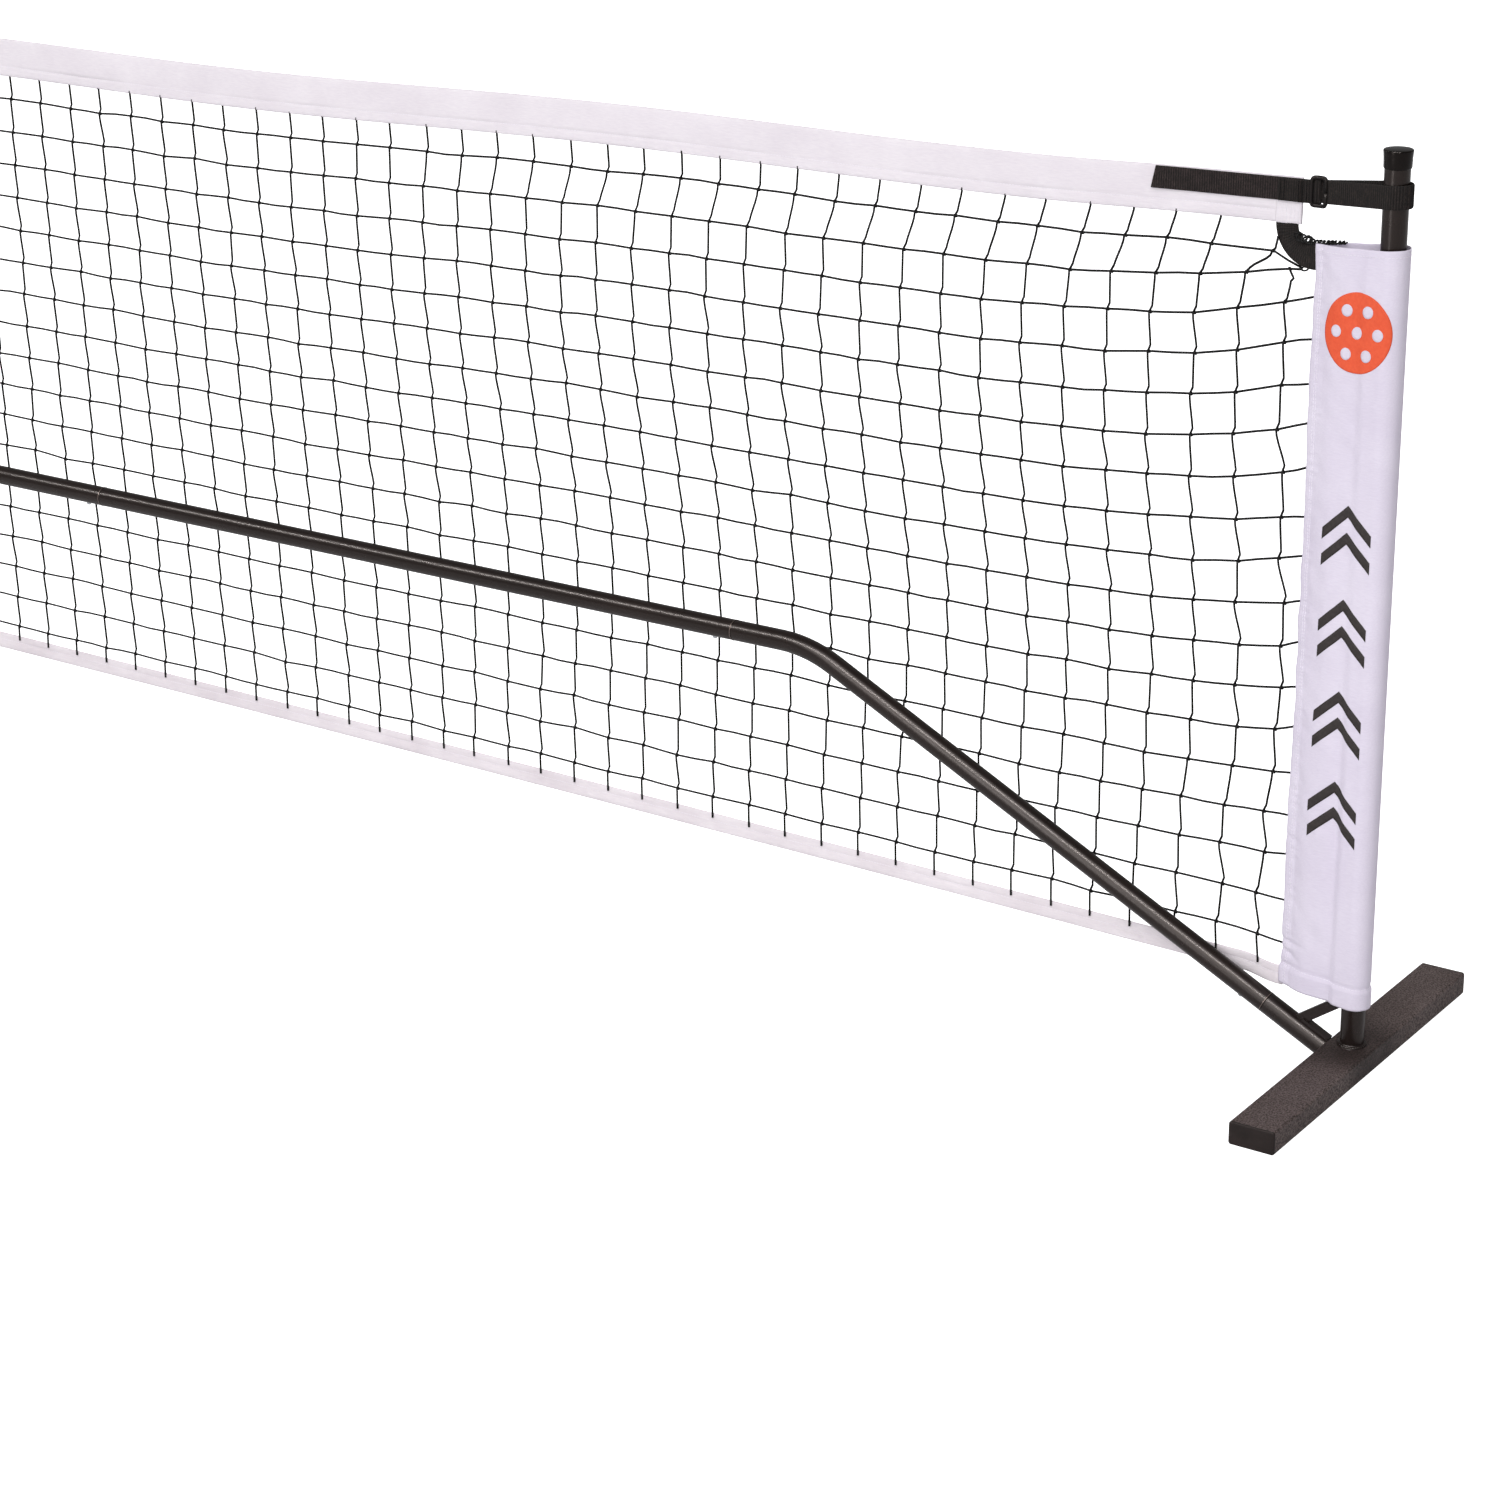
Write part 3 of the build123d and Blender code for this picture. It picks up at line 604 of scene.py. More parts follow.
def netting():
    """Every cord of the netting at its true thickness, knotted at each crossing."""
    random = np.random.default_rng(11)
    columns = np.linspace(-HALF_NET, HALF_NET, COLUMNS)
    x, row = np.meshgrid(columns, np.arange(ROWS), indexing="ij")
    x, z = knot_places(x, row)
    loose = (0.7 + 2.2 * ease(np.abs(x), POST_X - 0.3, POST_X - 0.1)) * MM
    x = x + loose * random.normal(size=x.shape)
    z = z + 0.7 * MM * random.normal(size=z.shape)
    y = net_y(x, z)
    ripple = 1.2 * MM * drift(3, x, z, 0.5) * ease(NET_Y + 1 * MM - y, 1 * MM, 0)
    forward = NET_Y - y
    x, y, z = x + np.sign(x) * SIGHT_X * forward, y + ripple, z + SIGHT_Z * forward
    crossing = np.stack([x, y, z], axis=-1)
    for column, sign in ((0, -1), (-1, 1)):
        for inward, k, from_post, from_seam, height in CORNER_KNOTS:
            place = (sign * (POST_X + from_post), SEAM_Y + from_seam, height)
            crossing[column - sign * inward, k] = place

    lean = 9 * MM * np.sign(columns) * ease(np.abs(columns), POST_X - 1.0, POST_X - 0.3)
    head = np.stack([x[:, 0] + lean, y[:, 0], band_top(x[:, 0]) - BAND_H + 3 * MM], axis=-1)
    foot_y = net_y(x[:, -1], FOOTBAND_END_Z)
    foot = np.stack([x[:, -1], foot_y - 2.1 * MM, footband_top(x[:, -1]) - 5 * MM], axis=-1)
    for column, sign in ((1, -1), (-2, 1)):
        head[column] = (sign * (CORNER_LOW.x + 1 * MM), NET_Y - 1 * MM, CORNER_HIGH.z - 14 * MM)
    full = [upright(np.concatenate([head[[i]], crossing[i], foot[[i]]]))
            for i in range(1, COLUMNS - 1)]
    ends = []
    for i, sign in ((0, -1), (-1, 1)):
        kink = crossing[i, 1] + np.array([sign * 3.5 * MM, -1 * MM, -11 * MM])
        ends.append(upright(np.concatenate([crossing[i, 1:2], [kink], crossing[i, 2:], foot[[i]]])))

    rows = []
    for k in range(ROWS):
        line = crossing[1:-1, k] if k == 0 else crossing[:, k]
        tips = [row_end(line[0], k, -1, random), row_end(line[-1], k, 1, random)]
        line = np.concatenate([[tips[0]], line, [tips[1]]])
        between = (line[1:] + line[:-1]) / 2
        between[:, 2] += 0.4 * MM * random.normal(size=len(between))
        path = np.empty((2 * len(line) - 1, 3))
        path[::2], path[1::2] = line, between
        rows.append(path)
    parts = [tubes(full, CORD_R), tubes(ends, CORD_R),
             tubes(rows[:1], ROW_R), tubes(rows[1:], ROW_R)]
    inner = crossing[1:-1].reshape(-1, 3)
    parts.append(knots(np.concatenate([inner, crossing[0, 1:], crossing[-1, 1:]])))
    for sign in (-1, 1):
        parts.append(eye((sign * (POST_X + EYE_X), SEAM_Y + 2 * MM, EYE_Z), sign))
    piece("netting", parts, CORD, stands_for=("net_mesh",))


# ---- bands ---------------------------------------------------------------------------------------
def folded_band(profile, top, reach, seed, bends):
    """A cloth folded over the netting's edge."""
    x = np.linspace(-reach, reach, round(2 * reach / BAND_STEP) + 1)[:, None]
    half = np.array(profile) * MM
    whole = np.concatenate([half, half[-2::-1] * (-1, 1)])
    y, drop = whole[:, 0][None, :], whole[:, 1][None, :]
    face = ease(np.abs(y), 0.5 * MM, 0.9 * MM)
    pucker = bell(drop, -BAND_STITCH, 5 * MM) * np.cos(2 * math.pi * x / COLUMN_PITCH) ** 8
    swell = drift(seed, x, drop * 3, 0.16) + 0.3 * drift(seed + 1, x, drop * 2, 0.05)
    swell = BAND_SWELL * (swell + 1.2 * pucker)
    middle = net_y(x, top(x)) if bends else NET_Y
    points = np.broadcast_arrays(x, middle + y + np.sign(y) * face * swell, top(x) + drop)
    return np.stack(points, axis=-1)


def seam_of(profile, drop):
    """The column of a folded band's front line of stitching, and of its back one."""
    front = min(range(len(profile)),
                key=lambda i: abs(profile[i][1] + drop / MM) + (profile[i][0] > -0.3))
    return front, 2 * len(profile) - 2 - front


def band(name, profile, stitch_drop, top, reach, seed, finish, bends=False):
    """A band with its lines of stitching."""
    points = folded_band(profile, top, reach, seed, bends)
    cloth = piece(name + "_cloth", [lattice(points)], finish, stands_for=(name,),
                  thickness=CLOTH_T)
    patch = Patch(points)
    rows = np.arange(len(points))
    runs = []
    for column, up in zip(seam_of(profile, stitch_drop), (1, -1)):
        lift = up * patch.facing(len(rows) // 2, column) * 0.3 * MM
        runs.append(stitches(patch, rows, np.full(len(rows), float(column)), lift))
    thread = piece(name + "_stitching", runs, WHITE_THREAD)


def band_end(side_name, side):
    """The folded and box-stitched end of the headband."""
    x = (POST_X + np.linspace(BAND_END - 27 * MM, BAND_END + 0.4 * MM, 22))[:, None]
    turn = np.linspace(0, 2 * math.pi, 40, endpoint=False)
    y, z = rounded_box(turn, 2.3 * MM, BAND_H / 2 + 0.4 * MM, 5)
    tuck = 1 - 0.25 * ease(x, x[-3], x[-1]) - 0.15 * ease(-x, -x[2], -x[0])
    places = np.broadcast_arrays(
        x + 0.25 * MM * drift(side + 31, x, z, 0.02),
        NET_Y + y * tuck + 0.12 * MM * drift(side + 33, x, z, 0.012),
        band_top(x) - BAND_H / 2 + z,
    )
    grid = np.stack(places, axis=-1)
    piece(f"headband_end_{side_name}", [lattice(grid, ring=True, caps=True)], BAND_CLOTH,
          side=side)
    patch = Patch(grid)
    low, high = len(turn) // 2 - 9, len(turn) // 2 + 9
    runs = [box_run(patch, (1.5, 19.5), (column, column)) for column in (low, high)]
    runs += [box_run(patch, (row, row), (low, high)) for row in (2.0, 5.5, 9.0, 12.5, 16.0, 19.0)]
    piece(f"headband_end_stitching_{side_name}", runs, WHITE_THREAD,
          side=side)


def box_run(patch, rows, columns):
    """A straight run of stitches on a patch, on whichever side of it faces the camera."""
    row, column = np.linspace(*rows, 12), np.linspace(*columns, 12)
    lift = patch.facing(row[6], column[6]) * 0.1 * MM
    return stitches(patch, row, column, lift, BOX_PITCH)


# ---- sleeves -------------------------------------------------------------------------------------
def sleeve_outline(edge, radius, gap):
    """The cloth's line at one height, from the seam along the front, round the post and back."""
    bearings = []
    for sign in (-1, 1):
        x, y = edge, SEAM_Y + sign * gap
        bearings.append(math.atan2(y, x) % (2 * math.pi)
                        - sign * math.acos(radius / math.hypot(x, y)))
    front, back = bearings
    arc = np.linspace(front, back + 2 * math.pi, 60)
    round_post = radius * np.stack([np.cos(arc), np.sin(arc)], axis=1)
    start, end = np.array([edge, SEAM_Y - gap]), np.array([edge, SEAM_Y + gap])
    touch, leave = round_post[0], round_post[-1]
    run = np.linspace(0, 1, 24)[:, None]
    bow = np.sin(math.pi * run) * np.array([[0, 1]])
    ahead = start + (touch - start) * run - 3.5 * MM * bow
    behind = leave + (end - leave) * run + 1.5 * MM * bow
    flat = np.concatenate([ahead, round_post[1:-1], behind])
    return spread(flat, flat, SLEEVE_COLUMNS), distances(flat)[-1]


def sleeve_grid():
    """The smooth sleeve, rows from the top down and columns from the seam, and its girth."""
    grid = np.empty((SLEEVE_ROWS, SLEEVE_COLUMNS, 3))
    for i, t in enumerate(np.linspace(0, 1, SLEEVE_ROWS)):
        edge = SLEEVE_EDGE + 4.5 * MM - 4.5 * MM * t**2.2
        radius = SLEEVE_R + 0.9 * MM * (1 - t) ** 2
        gap = 1.15 * MM + 0.55 * MM * float(ease(-t, -0.045, -0.03))
        outline, girth = sleeve_outline(edge, radius, gap)
        tilt = np.clip((outline[:, 0] - SLEEVE_EDGE) / -SLEEVE_EDGE, 0, 1.1)
        top = SLEEVE_HIGH.z - 6.5 * MM + 6.5 * MM * tilt
        bottom = SLEEVE_LOW.z + 4.5 * MM - 3.5 * MM * tilt
        grid[i] = np.column_stack([outline, top + (bottom - top) * t])
    return grid, girth


def sleeve_relief(grid, seed):
    """How far the folds, the wrinkles, the lower hem and the seam stand out of the sleeve."""
    x, z = grid[..., 0], grid[..., 2]
    flat = ease(-x, 14 * MM, 26 * MM)
    flat = flat * ease(x, SLEEVE_EDGE + SLEEVE_SEAM, SLEEVE_EDGE + 2.5 * SLEEVE_SEAM)
    lower = ease(-z, -0.75, -0.15)
    fold = -(1.2 + 2.2 * lower) * MM * bell(x, -27 * MM + 6 * MM * np.sin(5 * z), 12 * MM)
    fold = fold + 1.1 * MM * bell(x, -50 * MM, 13 * MM) * lower
    soft = 0.9 * MM * drift(seed, x * 1.6, z * 0.45, 0.11)
    soft = soft + 0.35 * MM * drift(seed + 1, x, z, 0.035)
    relief = (fold + soft) * flat

    in_front = np.arange(SLEEVE_COLUMNS) < SLEEVE_COLUMNS / 2
    from_edge = x - SLEEVE_EDGE
    for height, slope, length, depth in WRINKLES:
        mark = bell(z, height * MM + slope * from_edge, 2.8 * MM)
        mark = mark * ease(-from_edge, -length * MM, -0.2 * length * MM)
        relief = relief - 1.5 * depth * MM * mark * in_front

    above, below = z - z[-1:], z[:1] - z
    hem = np.minimum(above, below)
    lower_hem = np.where(above < below, 1.3, 0)
    relief = relief - 0.7 * MM * lower_hem * bell(hem, SLEEVE_HEM + 1.5 * MM, 2.2 * MM)
    relief = relief + 0.7 * MM * lower_hem * ease(SLEEVE_HEM - hem, 0, 2.5 * MM)
    steps = np.linalg.norm(np.diff(grid, axis=1, prepend=grid[:, :1]), axis=2)
    along = np.cumsum(steps, axis=1)
    pucker = np.sin(2 * math.pi * along / (7 * MM) + 3 * drift(seed + 2, along, z, 0.05))
    relief = relief + 0.16 * MM * pucker * bell(hem, SLEEVE_HEM, 6 * MM)

    seam_x = SLEEVE_EDGE + 4 * MM + SLEEVE_SEAM
    relief = relief - 0.5 * MM * bell(x, seam_x, 1.6 * MM)
    pucker = np.sin(2 * math.pi * z / (15 * MM) + 2.5 * drift(seed + 3, z, 0, 0.06))
    return relief + 0.3 * MM * pucker * bell(x, seam_x, 8 * MM)


def sleeve(side_name, side):
    """The cloth sleeve on a post, with its hems, its seam and a plain printed pattern."""
    seed = 50 + side
    grid, girth = sleeve_grid()
    smooth = Patch(grid)
    away = smooth.facing(SLEEVE_ROWS // 2, SLEEVE_COLUMNS // 4)
    x, z = grid[..., 0], grid[..., 2]
    edge_wave = 0.8 * MM * drift(seed + 5, z, 0, 0.05) * bell(x, SLEEVE_EDGE, 12 * MM)
    grid = grid + (sleeve_relief(grid, seed) * away)[..., None] * smooth.normals
    grid[..., 0] += edge_wave
    height = grid[0, 0, 2] - grid[-1, 0, 2]
    grid = grid + (POST_X, 0, 0)

    name = f"sleeve_{side_name}"
    cloth = piece(name + "_cloth", [lattice(grid, ring=True)], SLEEVE_CLOTH,
                  side=side, stands_for=(name,), thickness=CLOTH_T)
    patch = Patch(grid)
    lift = away * (CLOTH_T / 2 + 0.04 * MM)
    last_row, last_column = SLEEVE_ROWS - 1, SLEEVE_COLUMNS - 1
    ring = np.linspace(1, last_column - 1, 300)
    hem = SLEEVE_HEM / height * last_row
    runs = [stitches(patch, np.full(300, row), ring, lift) for row in (0.3 * hem, last_row - hem)]
    seam = SLEEVE_SEAM / girth * last_column
    length = np.linspace(2, last_row - 2, 400)
    for column in (seam, seam * 0.72, last_column - seam):
        runs.append(stitches(patch, length, np.full(400, column), lift))
    thread = piece(f"{name}_stitching", runs, WHITE_THREAD, side=side)
    printed = sleeve_print(name, patch, girth, side, away)


def sleeve_print(name, patch, girth, side, away):
    """A perforated ball and four pairs of chevrons, printed on the front."""
    top, bottom = patch.points[0, 0, 2], patch.points[-1, 0, 2]
    first = CLOTH_T / 2 + 0.22 * MM
    second = first + 0.16 * MM
    middle, ball_z, ball_r, hole_r = 58 * MM, 765 * MM, 39.5 * MM, 6 * MM

    def printed(across, z, lift):
        """Places on the cloth from a width from the seam and a height."""
        row = (top - z) / (top - bottom) * (SLEEVE_ROWS - 1)
        return patch.at(row, across / girth * (SLEEVE_COLUMNS - 1), away * lift)

    def disc(across, z, radius, lift):
        """A filled disc: a tiny centre face and rings round it."""
        around = 120
        ring = np.linspace(0.02, 1, max(4, round(radius / (1.5 * MM))))[:, None] * radius
        turn = np.linspace(0, 2 * math.pi, around, endpoint=False)[None, :]
        points = printed(across + ring * np.cos(turn), z + ring * np.sin(turn), lift)
        vertices, faces = lattice(points, ring=True)
        return vertices, faces + [list(range(around - 1, -1, -1))]

    dots = [disc(middle, ball_z, hole_r, second)]
    for turn in np.arange(6) * math.pi / 3:
        x, z = 0.62 * ball_r * math.cos(turn), 0.62 * ball_r * math.sin(turn)
        dots.append(disc(middle + x, ball_z + z, hole_r, second))

    chevrons = []
    width, rise, stroke = 29 * MM, 26 * MM, 12 * MM
    t = np.linspace(-1, 1, 41)[:, None]
    w = np.linspace(0, 1, 5)[None, :]
    for z in (582, 487, 392, 297):
        for shift in (0, -27 * MM):
            height = z * MM + shift + rise * (0.5 - np.abs(t)) - w * stroke
            chevrons.append(lattice(printed(middle + width * t, height, first)))

    made = []
    ball = [disc(middle, ball_z, ball_r, first)]
    for what, parts, finish in (("ball", ball, ORANGE_INK), ("holes", dots, SLEEVE_CLOTH),
                                ("chevrons", chevrons, DARK_INK)):
        made.append(piece(f"{name}_print_{what}", parts, finish, side=side))
    for mark in made:
        thicken(mark, PRINT_T)
    return made


# ---- webbing -------------------------------------------------------------------------------------
def webbing(path, across, width, thickness, pitch=RIB_PITCH):
    """A ribbed strap along a path. Across is its width's direction, at each point or the same."""
    path = np.asarray(path, float)
    dense = walk(path, pitch / 4)
    stations = np.linspace(0, distances(path)[-1], len(dense))
    wide = spread(path, np.broadcast_to(np.asarray(across, float), path.shape), len(dense))
    along = np.gradient(dense, axis=0)
    along /= np.linalg.norm(along, axis=1, keepdims=True)
    out = np.cross(along, wide)
    out /= np.linalg.norm(out, axis=1, keepdims=True)
    w = np.concatenate([TAPE_WIDE, TAPE_WIDE[::-1]])
    t = np.concatenate([TAPE_DEEP, -TAPE_DEEP])
    rib = RIB_DEPTH * np.sin(2 * math.pi * stations / pitch)[:, None] * t * (np.abs(t) > 0.9)
    points = dense[:, None] + wide[:, None] * (w * width / 2)[None, :, None]
    points = points + out[:, None] * (t * thickness / 2 + rib)[..., None]
    return lattice(points, ring=True, caps=True)


def strap_tail(side_name, side):
    """The tail of the hook-and-loop strap, laid back along the headband."""
    low, high = STRAP_LOW.x - POST_X, STRAP_HIGH.x - POST_X
    x = np.linspace(low, high, 40)
    width = 22.5 * MM
    lift = 0.8 * MM * bell(x, low, 25 * MM)
    sag = 0.4 * MM + 0.6 * MM * np.sin(math.pi * (x - low) / (high - low))
    z = band_top(POST_X + x) - width / 2 - sag
    path = np.stack([POST_X + x, STRAP_LOW.y + 0.5 * MM - lift, z], axis=1)
    across = np.stack([0.22 * bell(x, low, 12 * MM), 0 * x, 1 + 0 * x], axis=1)
    piece(f"strap_tail_{side_name}", [webbing(path, across, width, 1.5 * MM)], HOOK_TAPE,
          side=side, stands_for=(f"strap_{side_name}",))


def loop_height(x):
    """Middle of the post webbing's height, which climbs a little from the headband to the post."""
    return 892.3 * MM + 10.5 * MM * ease(x, -112 * MM, 20 * MM)


def post_webbing(side_name, side):
    """The webbing sewn to the headband's end, through the buckle, round the post and back."""
    width = 23 * MM
    start, fork = -107 * MM, BUCKLE_X + 6 * MM
    x = np.linspace(start, fork, 40)
    dip = 3.0 * MM * bell(x, BUCKLE_X + 2.2 * MM, 3.2 * MM)
    dip = dip - 0.8 * MM * bell(x, BUCKLE_X - 9 * MM, 5 * MM)
    flat = np.stack([POST_X + x, STRAP_Y + dip, loop_height(x)], axis=1)
    radius = POST_R + 1.1 * MM
    turn = np.linspace(-0.62 * math.pi, 0.62 * math.pi, 60)
    far = 2.4 * MM * np.cos(turn / 1.24) ** 2
    round_post = np.stack([radius * np.cos(turn) + far, radius * np.sin(turn)], axis=1)
    front, back = [(fork, STRAP_Y - 0.8 * MM)], [(fork, STRAP_Y + 0.8 * MM)]
    line = np.concatenate([front, round_post, back])
    loop = np.stack([POST_X + line[:, 0], line[:, 1], loop_height(line[:, 0])], axis=1)
    parts = [webbing(flat, UP, width, 2.4 * MM), webbing(loop, UP, width, 1.4 * MM)]
    piece(f"post_webbing_{side_name}", parts, WEBBING, side=side,
          stands_for=(f"post_loop_{side_name}",))


def webbing_fold(side_name, side):
    """The turned-in end of the post webbing, sewn down over the strap's end."""
    x = np.linspace(-128, -103, 26) * MM
    z = band_top(POST_X + x) - 12.2 * MM
    lift = 1.9 * MM * ease(x, -129 * MM, -126.5 * MM) * ease(-x, 103 * MM, 105 * MM)
    path = np.stack([POST_X + x, STRAP_LOW.y + 0.3 * MM - lift, z], axis=1)
    parts = [webbing(path, (0.05, 0, 1), 21.5 * MM, 1.3 * MM, pitch=2.1 * MM)]
    piece(f"webbing_fold_{side_name}", parts, WEBBING, side=side)


def webbing_stitching(side_name, side):
    """The black box stitch that joins the strap, the headband's end and the post webbing."""
    runs = []
    z = np.linspace(-10, 10, 9) * MM
    short = np.linspace(0.12, 0.88, 5)[None, :, None]
    bow = np.array([-0.2, 0.1, 0.16, 0.1, -0.2]) * MM
    for x in (-125, -121, -106, -102, -98, -94):
        deep = STRAP_LOW.y - 2.4 * MM if x < -104 else STRAP_Y - 1.65 * MM
        middle = loop_height(x * MM) if x > -104 else band_top(POST_X + x * MM) - 11.6 * MM
        line = np.stack([np.full(9, POST_X + x * MM), np.full(9, deep), middle + z], axis=1)
        spans = line[:-1, None] * (1 - short) + line[1:, None] * short
        spans[..., 1] -= bow
        runs.append(tubes(spans, 0.42 * MM, sides=5))
    piece(f"strap_stitching_{side_name}", runs, BLACK_THREAD, side=side)


def slide_buckle(side_name, side):
    """A moulded slide: a rounded frame with a bar across its middle."""
    turn = np.linspace(0, 2 * math.pi, 73)
    half_w, half_h, wire = 7.6 * MM, 13.6 * MM, 2.1 * MM
    x, z = rounded_box(turn, half_w, half_h, 6)
    centre = np.array([POST_X + BUCKLE_X, STRAP_Y, loop_height(BUCKLE_X)])
    bow = -1.9 * MM * np.abs(np.cos(turn)) ** 0.5 - 0.2 * MM
    rim = centre + np.stack([x, bow, z], axis=1)
    bar_z = np.linspace(-half_h, half_h, 9)
    bar_y = 2.4 * MM * np.cos(bar_z / half_h * math.pi / 2) ** 0.5
    bar = centre + np.stack([0 * bar_z, bar_y, bar_z], axis=1)
    parts = [tubes([rim], wire, sides=14), tubes([bar], 1.7 * MM, sides=10)]
    piece(f"slide_buckle_{side_name}", parts, BUCKLE_PLASTIC, body=f"buckle_{side_name}",
          side=side, stands_for=(f"buckle_{side_name}",))


def corner_strap(side_name, side):
    """The webbing bent from under the headband's end into the sleeve's top corner."""
    centre = np.array([CORNER_HIGH.x - 2.5 * MM, NET_Y, CORNER_HIGH.z])
    inner, outer = 18 * MM, 42.5 * MM
    radius = (inner + outer) / 2
    turn = np.linspace(0, math.pi / 2, 40)
    c, s = np.cos(turn), np.sin(turn)
    forward = (SEAM_Y - NET_Y) * ease(turn, 0.3, 1.45) + 0.5 * MM * np.sin(3 * turn)
    arc = np.stack([-radius * c - SIGHT_X * forward, forward, -radius * s - SIGHT_Z * forward],
                   axis=1)
    outward = np.stack([-c, 0.06 * np.sin(2 * turn + 1), -s], axis=1)
    lead = arc[0] + np.array([[0, 0, 6 * MM], [0, 0, 3 * MM]])
    tail = arc[-1] + np.array([[1 * MM, 0, 0], [2 * MM, 0, 0]])
    path = centre + np.concatenate([lead, arc, tail])
    across = np.concatenate([outward[[0, 0]], outward, outward[[-1, -1]]])
    parts = [webbing(path, across, outer - inner, 1.8 * MM)]
    piece(f"corner_strap_{side_name}", parts, WEBBING, side=side,
          stands_for=(f"corner_webbing_{side_name}",))


def corner_lashing(side_name, side):
    """The black thread that lashes the netting's corner to the webbing and to the sleeve."""
    turns = np.linspace(0, 14, 420)
    marks = [0, 4, 6, 14]
    run = np.interp(turns, marks, [-104, -91, -84, -52]) * MM
    size = np.interp(turns, marks, [3.2, 3.2, 1.6, 0.9]) * MM
    height = np.interp(turns, marks, [850, 847, 846, 849.5]) * MM
    phase = 2 * math.pi * turns
    x = POST_X + run + size * np.cos(phase) * (1 + 0.35 * np.sin(0.7 * phase))
    y = SEAM_Y + 1.5 * MM + 2.2 * MM * np.sin(phase + 0.8)
    z = height + size * np.sin(phase + 0.5 * np.sin(1.3 * phase))
    lashing = tubes([np.stack([x, y, z], axis=1)], 1.0 * MM, reference=(0.3, 1, 0.2))
    piece(f"corner_lashing_{side_name}", [lashing], BLACK_THREAD, side=side)


def centre_tie():
    """The webbing round the centre post that holds the headband's middle down."""
    low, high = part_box("centre_loop")
    radius = (high.x - low.x) / 2 - 0.75 * MM
    turn = np.linspace(0, math.pi, 40)
    line = np.stack([radius * np.cos(turn), -radius * np.sin(turn)], axis=1)
    ends = [[(x, high.y - 1 * MM)] for x in (radius, -radius)]
    line = np.concatenate([ends[0], line, ends[1]])
    path = np.column_stack([line, np.full(len(line), (low.z + high.z) / 2)])
    parts = [webbing(path, UP, high.z - low.z, 1.4 * MM)]
    piece("centre_tie", parts, WEBBING, stands_for=("centre_loop",))


# ---- hard details --------------------------------------------------------------------------------
def lathe(profile, centre, steps=72):
    """A turned shape from (radius, height) points about an upright axis."""
    turn = np.linspace(0, 2 * math.pi, steps, endpoint=False)
    r, z = np.array(profile).T
    places = [np.outer(r, np.cos(turn)), np.outer(r, np.sin(turn)), np.outer(z, np.ones(steps))]
    return lattice(np.stack(places, axis=-1) + np.array(centre), ring=True)


def post_cap(side_name, side):
    """The moulded cap on an end post, with its rounded rim and slightly domed top."""
    low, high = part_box("post_cap_right")
    rim, tall = (high.x - low.x) / 2 / MM, (high.z - low.z) / MM
    bore, edge = POST_R / MM + 0.2, 1.4
    profile = [(0.1, 0), (5, -0.05), (9, -0.25), (11.6, -0.6)]
    for degrees in range(75, -1, -15):
        a = math.radians(degrees)
        profile.append((rim - edge + edge * math.cos(a), -2.2 + edge * math.sin(a)))
    profile += [(rim - 0.25, -5), (rim - 0.6, -9.5), (rim - 0.8, 1.6 - tall),
                (rim - 1.1, 0.5 - tall), (rim - 1.6, 0.05 - tall), (bore, 0.05 - tall),
                (bore, 2 - tall)]
    parts = [lathe(np.array(profile) * MM, (POST_X, 0, high.z))]
    piece(f"cap_{side_name}", parts, PLASTIC, body=f"post_{side_name}",
          side=side, stands_for=(f"post_cap_{side_name}",))


def weld_beads():
    """The rippled beads where the uprights stand on the feet."""
    parts = []
    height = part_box("foot_right")[1].z + 0.8 * MM
    turn = np.linspace(0, 2 * math.pi, 181)
    ripple = 0.25 * MM * np.abs(np.sin(turn * 17))
    radius = POST_R + 1.0 * MM + ripple
    for x in (-POST_X, 0, POST_X):
        path = np.stack([x + radius * np.cos(turn), radius * np.sin(turn), np.full(181, height)],
                        axis=1)
        parts.append(tubes([path], 1.5 * MM + ripple * 0.8, sides=10, reference=UP))
    piece("weld_beads", parts, COAT)


def tube_seams():
    """At each tube joint: the rim worn bright at its open end, and painted shadow in the gap by it.
    """
    seams = []
    for name in ("outer_bar_right", "middle_bar_right", "inner_bar_right", "centre_arms"):
        low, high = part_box(name)
        radius = (high.z - low.z) / 2
        centre = np.array([high.x, 0, high.z - radius])
        seams.append((centre, radius, np.array([1, 0, 0]), np.array(UP)))
    low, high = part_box("curved_tube_right")
    radius = (high.y - low.y) / 2
    c, s = math.cos(DIAGONAL), math.sin(DIAGONAL)
    centre = np.array([high.x - radius * s, 0, low.z + radius * c])
    seams.append((centre, radius, np.array([c, 0, -s]), np.array([s, 0, c])))

    turn = np.linspace(0, 2 * math.pi, 49)[:, None]
    rims, shadow_rings = [], []
    for centre, radius, ahead, above in seams:
        ring = np.cos(turn) * above + np.sin(turn) * np.array([0, 1, 0])
        for side in SIDES.values():
            for parts, along, out, wire in ((rims, -0.9, -0.2, 0.5), (shadow_rings, 0.3, -0.25, 0.45)):
                loop = centre + ahead * along * MM + (radius + out * MM) * ring
                parts.append(tubes([loop * (side, 1, 1)], wire * MM, sides=8,
                                   reference=ahead * (side, 1, 1)))
    piece("seam_rims", rims, WORN_EDGE)
    # painted shadow: black rings stand in for the shade in the gaps between the tubes
    piece("seam_painted_shadows", shadow_rings, PLASTIC)


def brace_welds():
    """The short bead at the lower end of each brace, where it meets the diagonal."""
    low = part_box("brace_right")[0]
    y = np.linspace(-5.5, 5.5, 23) * MM
    ripple = 0.25 * MM * np.abs(np.sin(y * 900))
    height = low.z + 18.6 * MM - 4 * y**2 / (11.5 * MM)
    path = np.stack([np.full(23, low.x + 1.2 * MM), y, height], axis=1)
    beads = [tubes([path * (side, 1, 1)], 1.3 * MM + ripple, sides=10, reference=(1, 0, 0))
             for side in SIDES.values()]
    piece("brace_welds", beads, COAT)


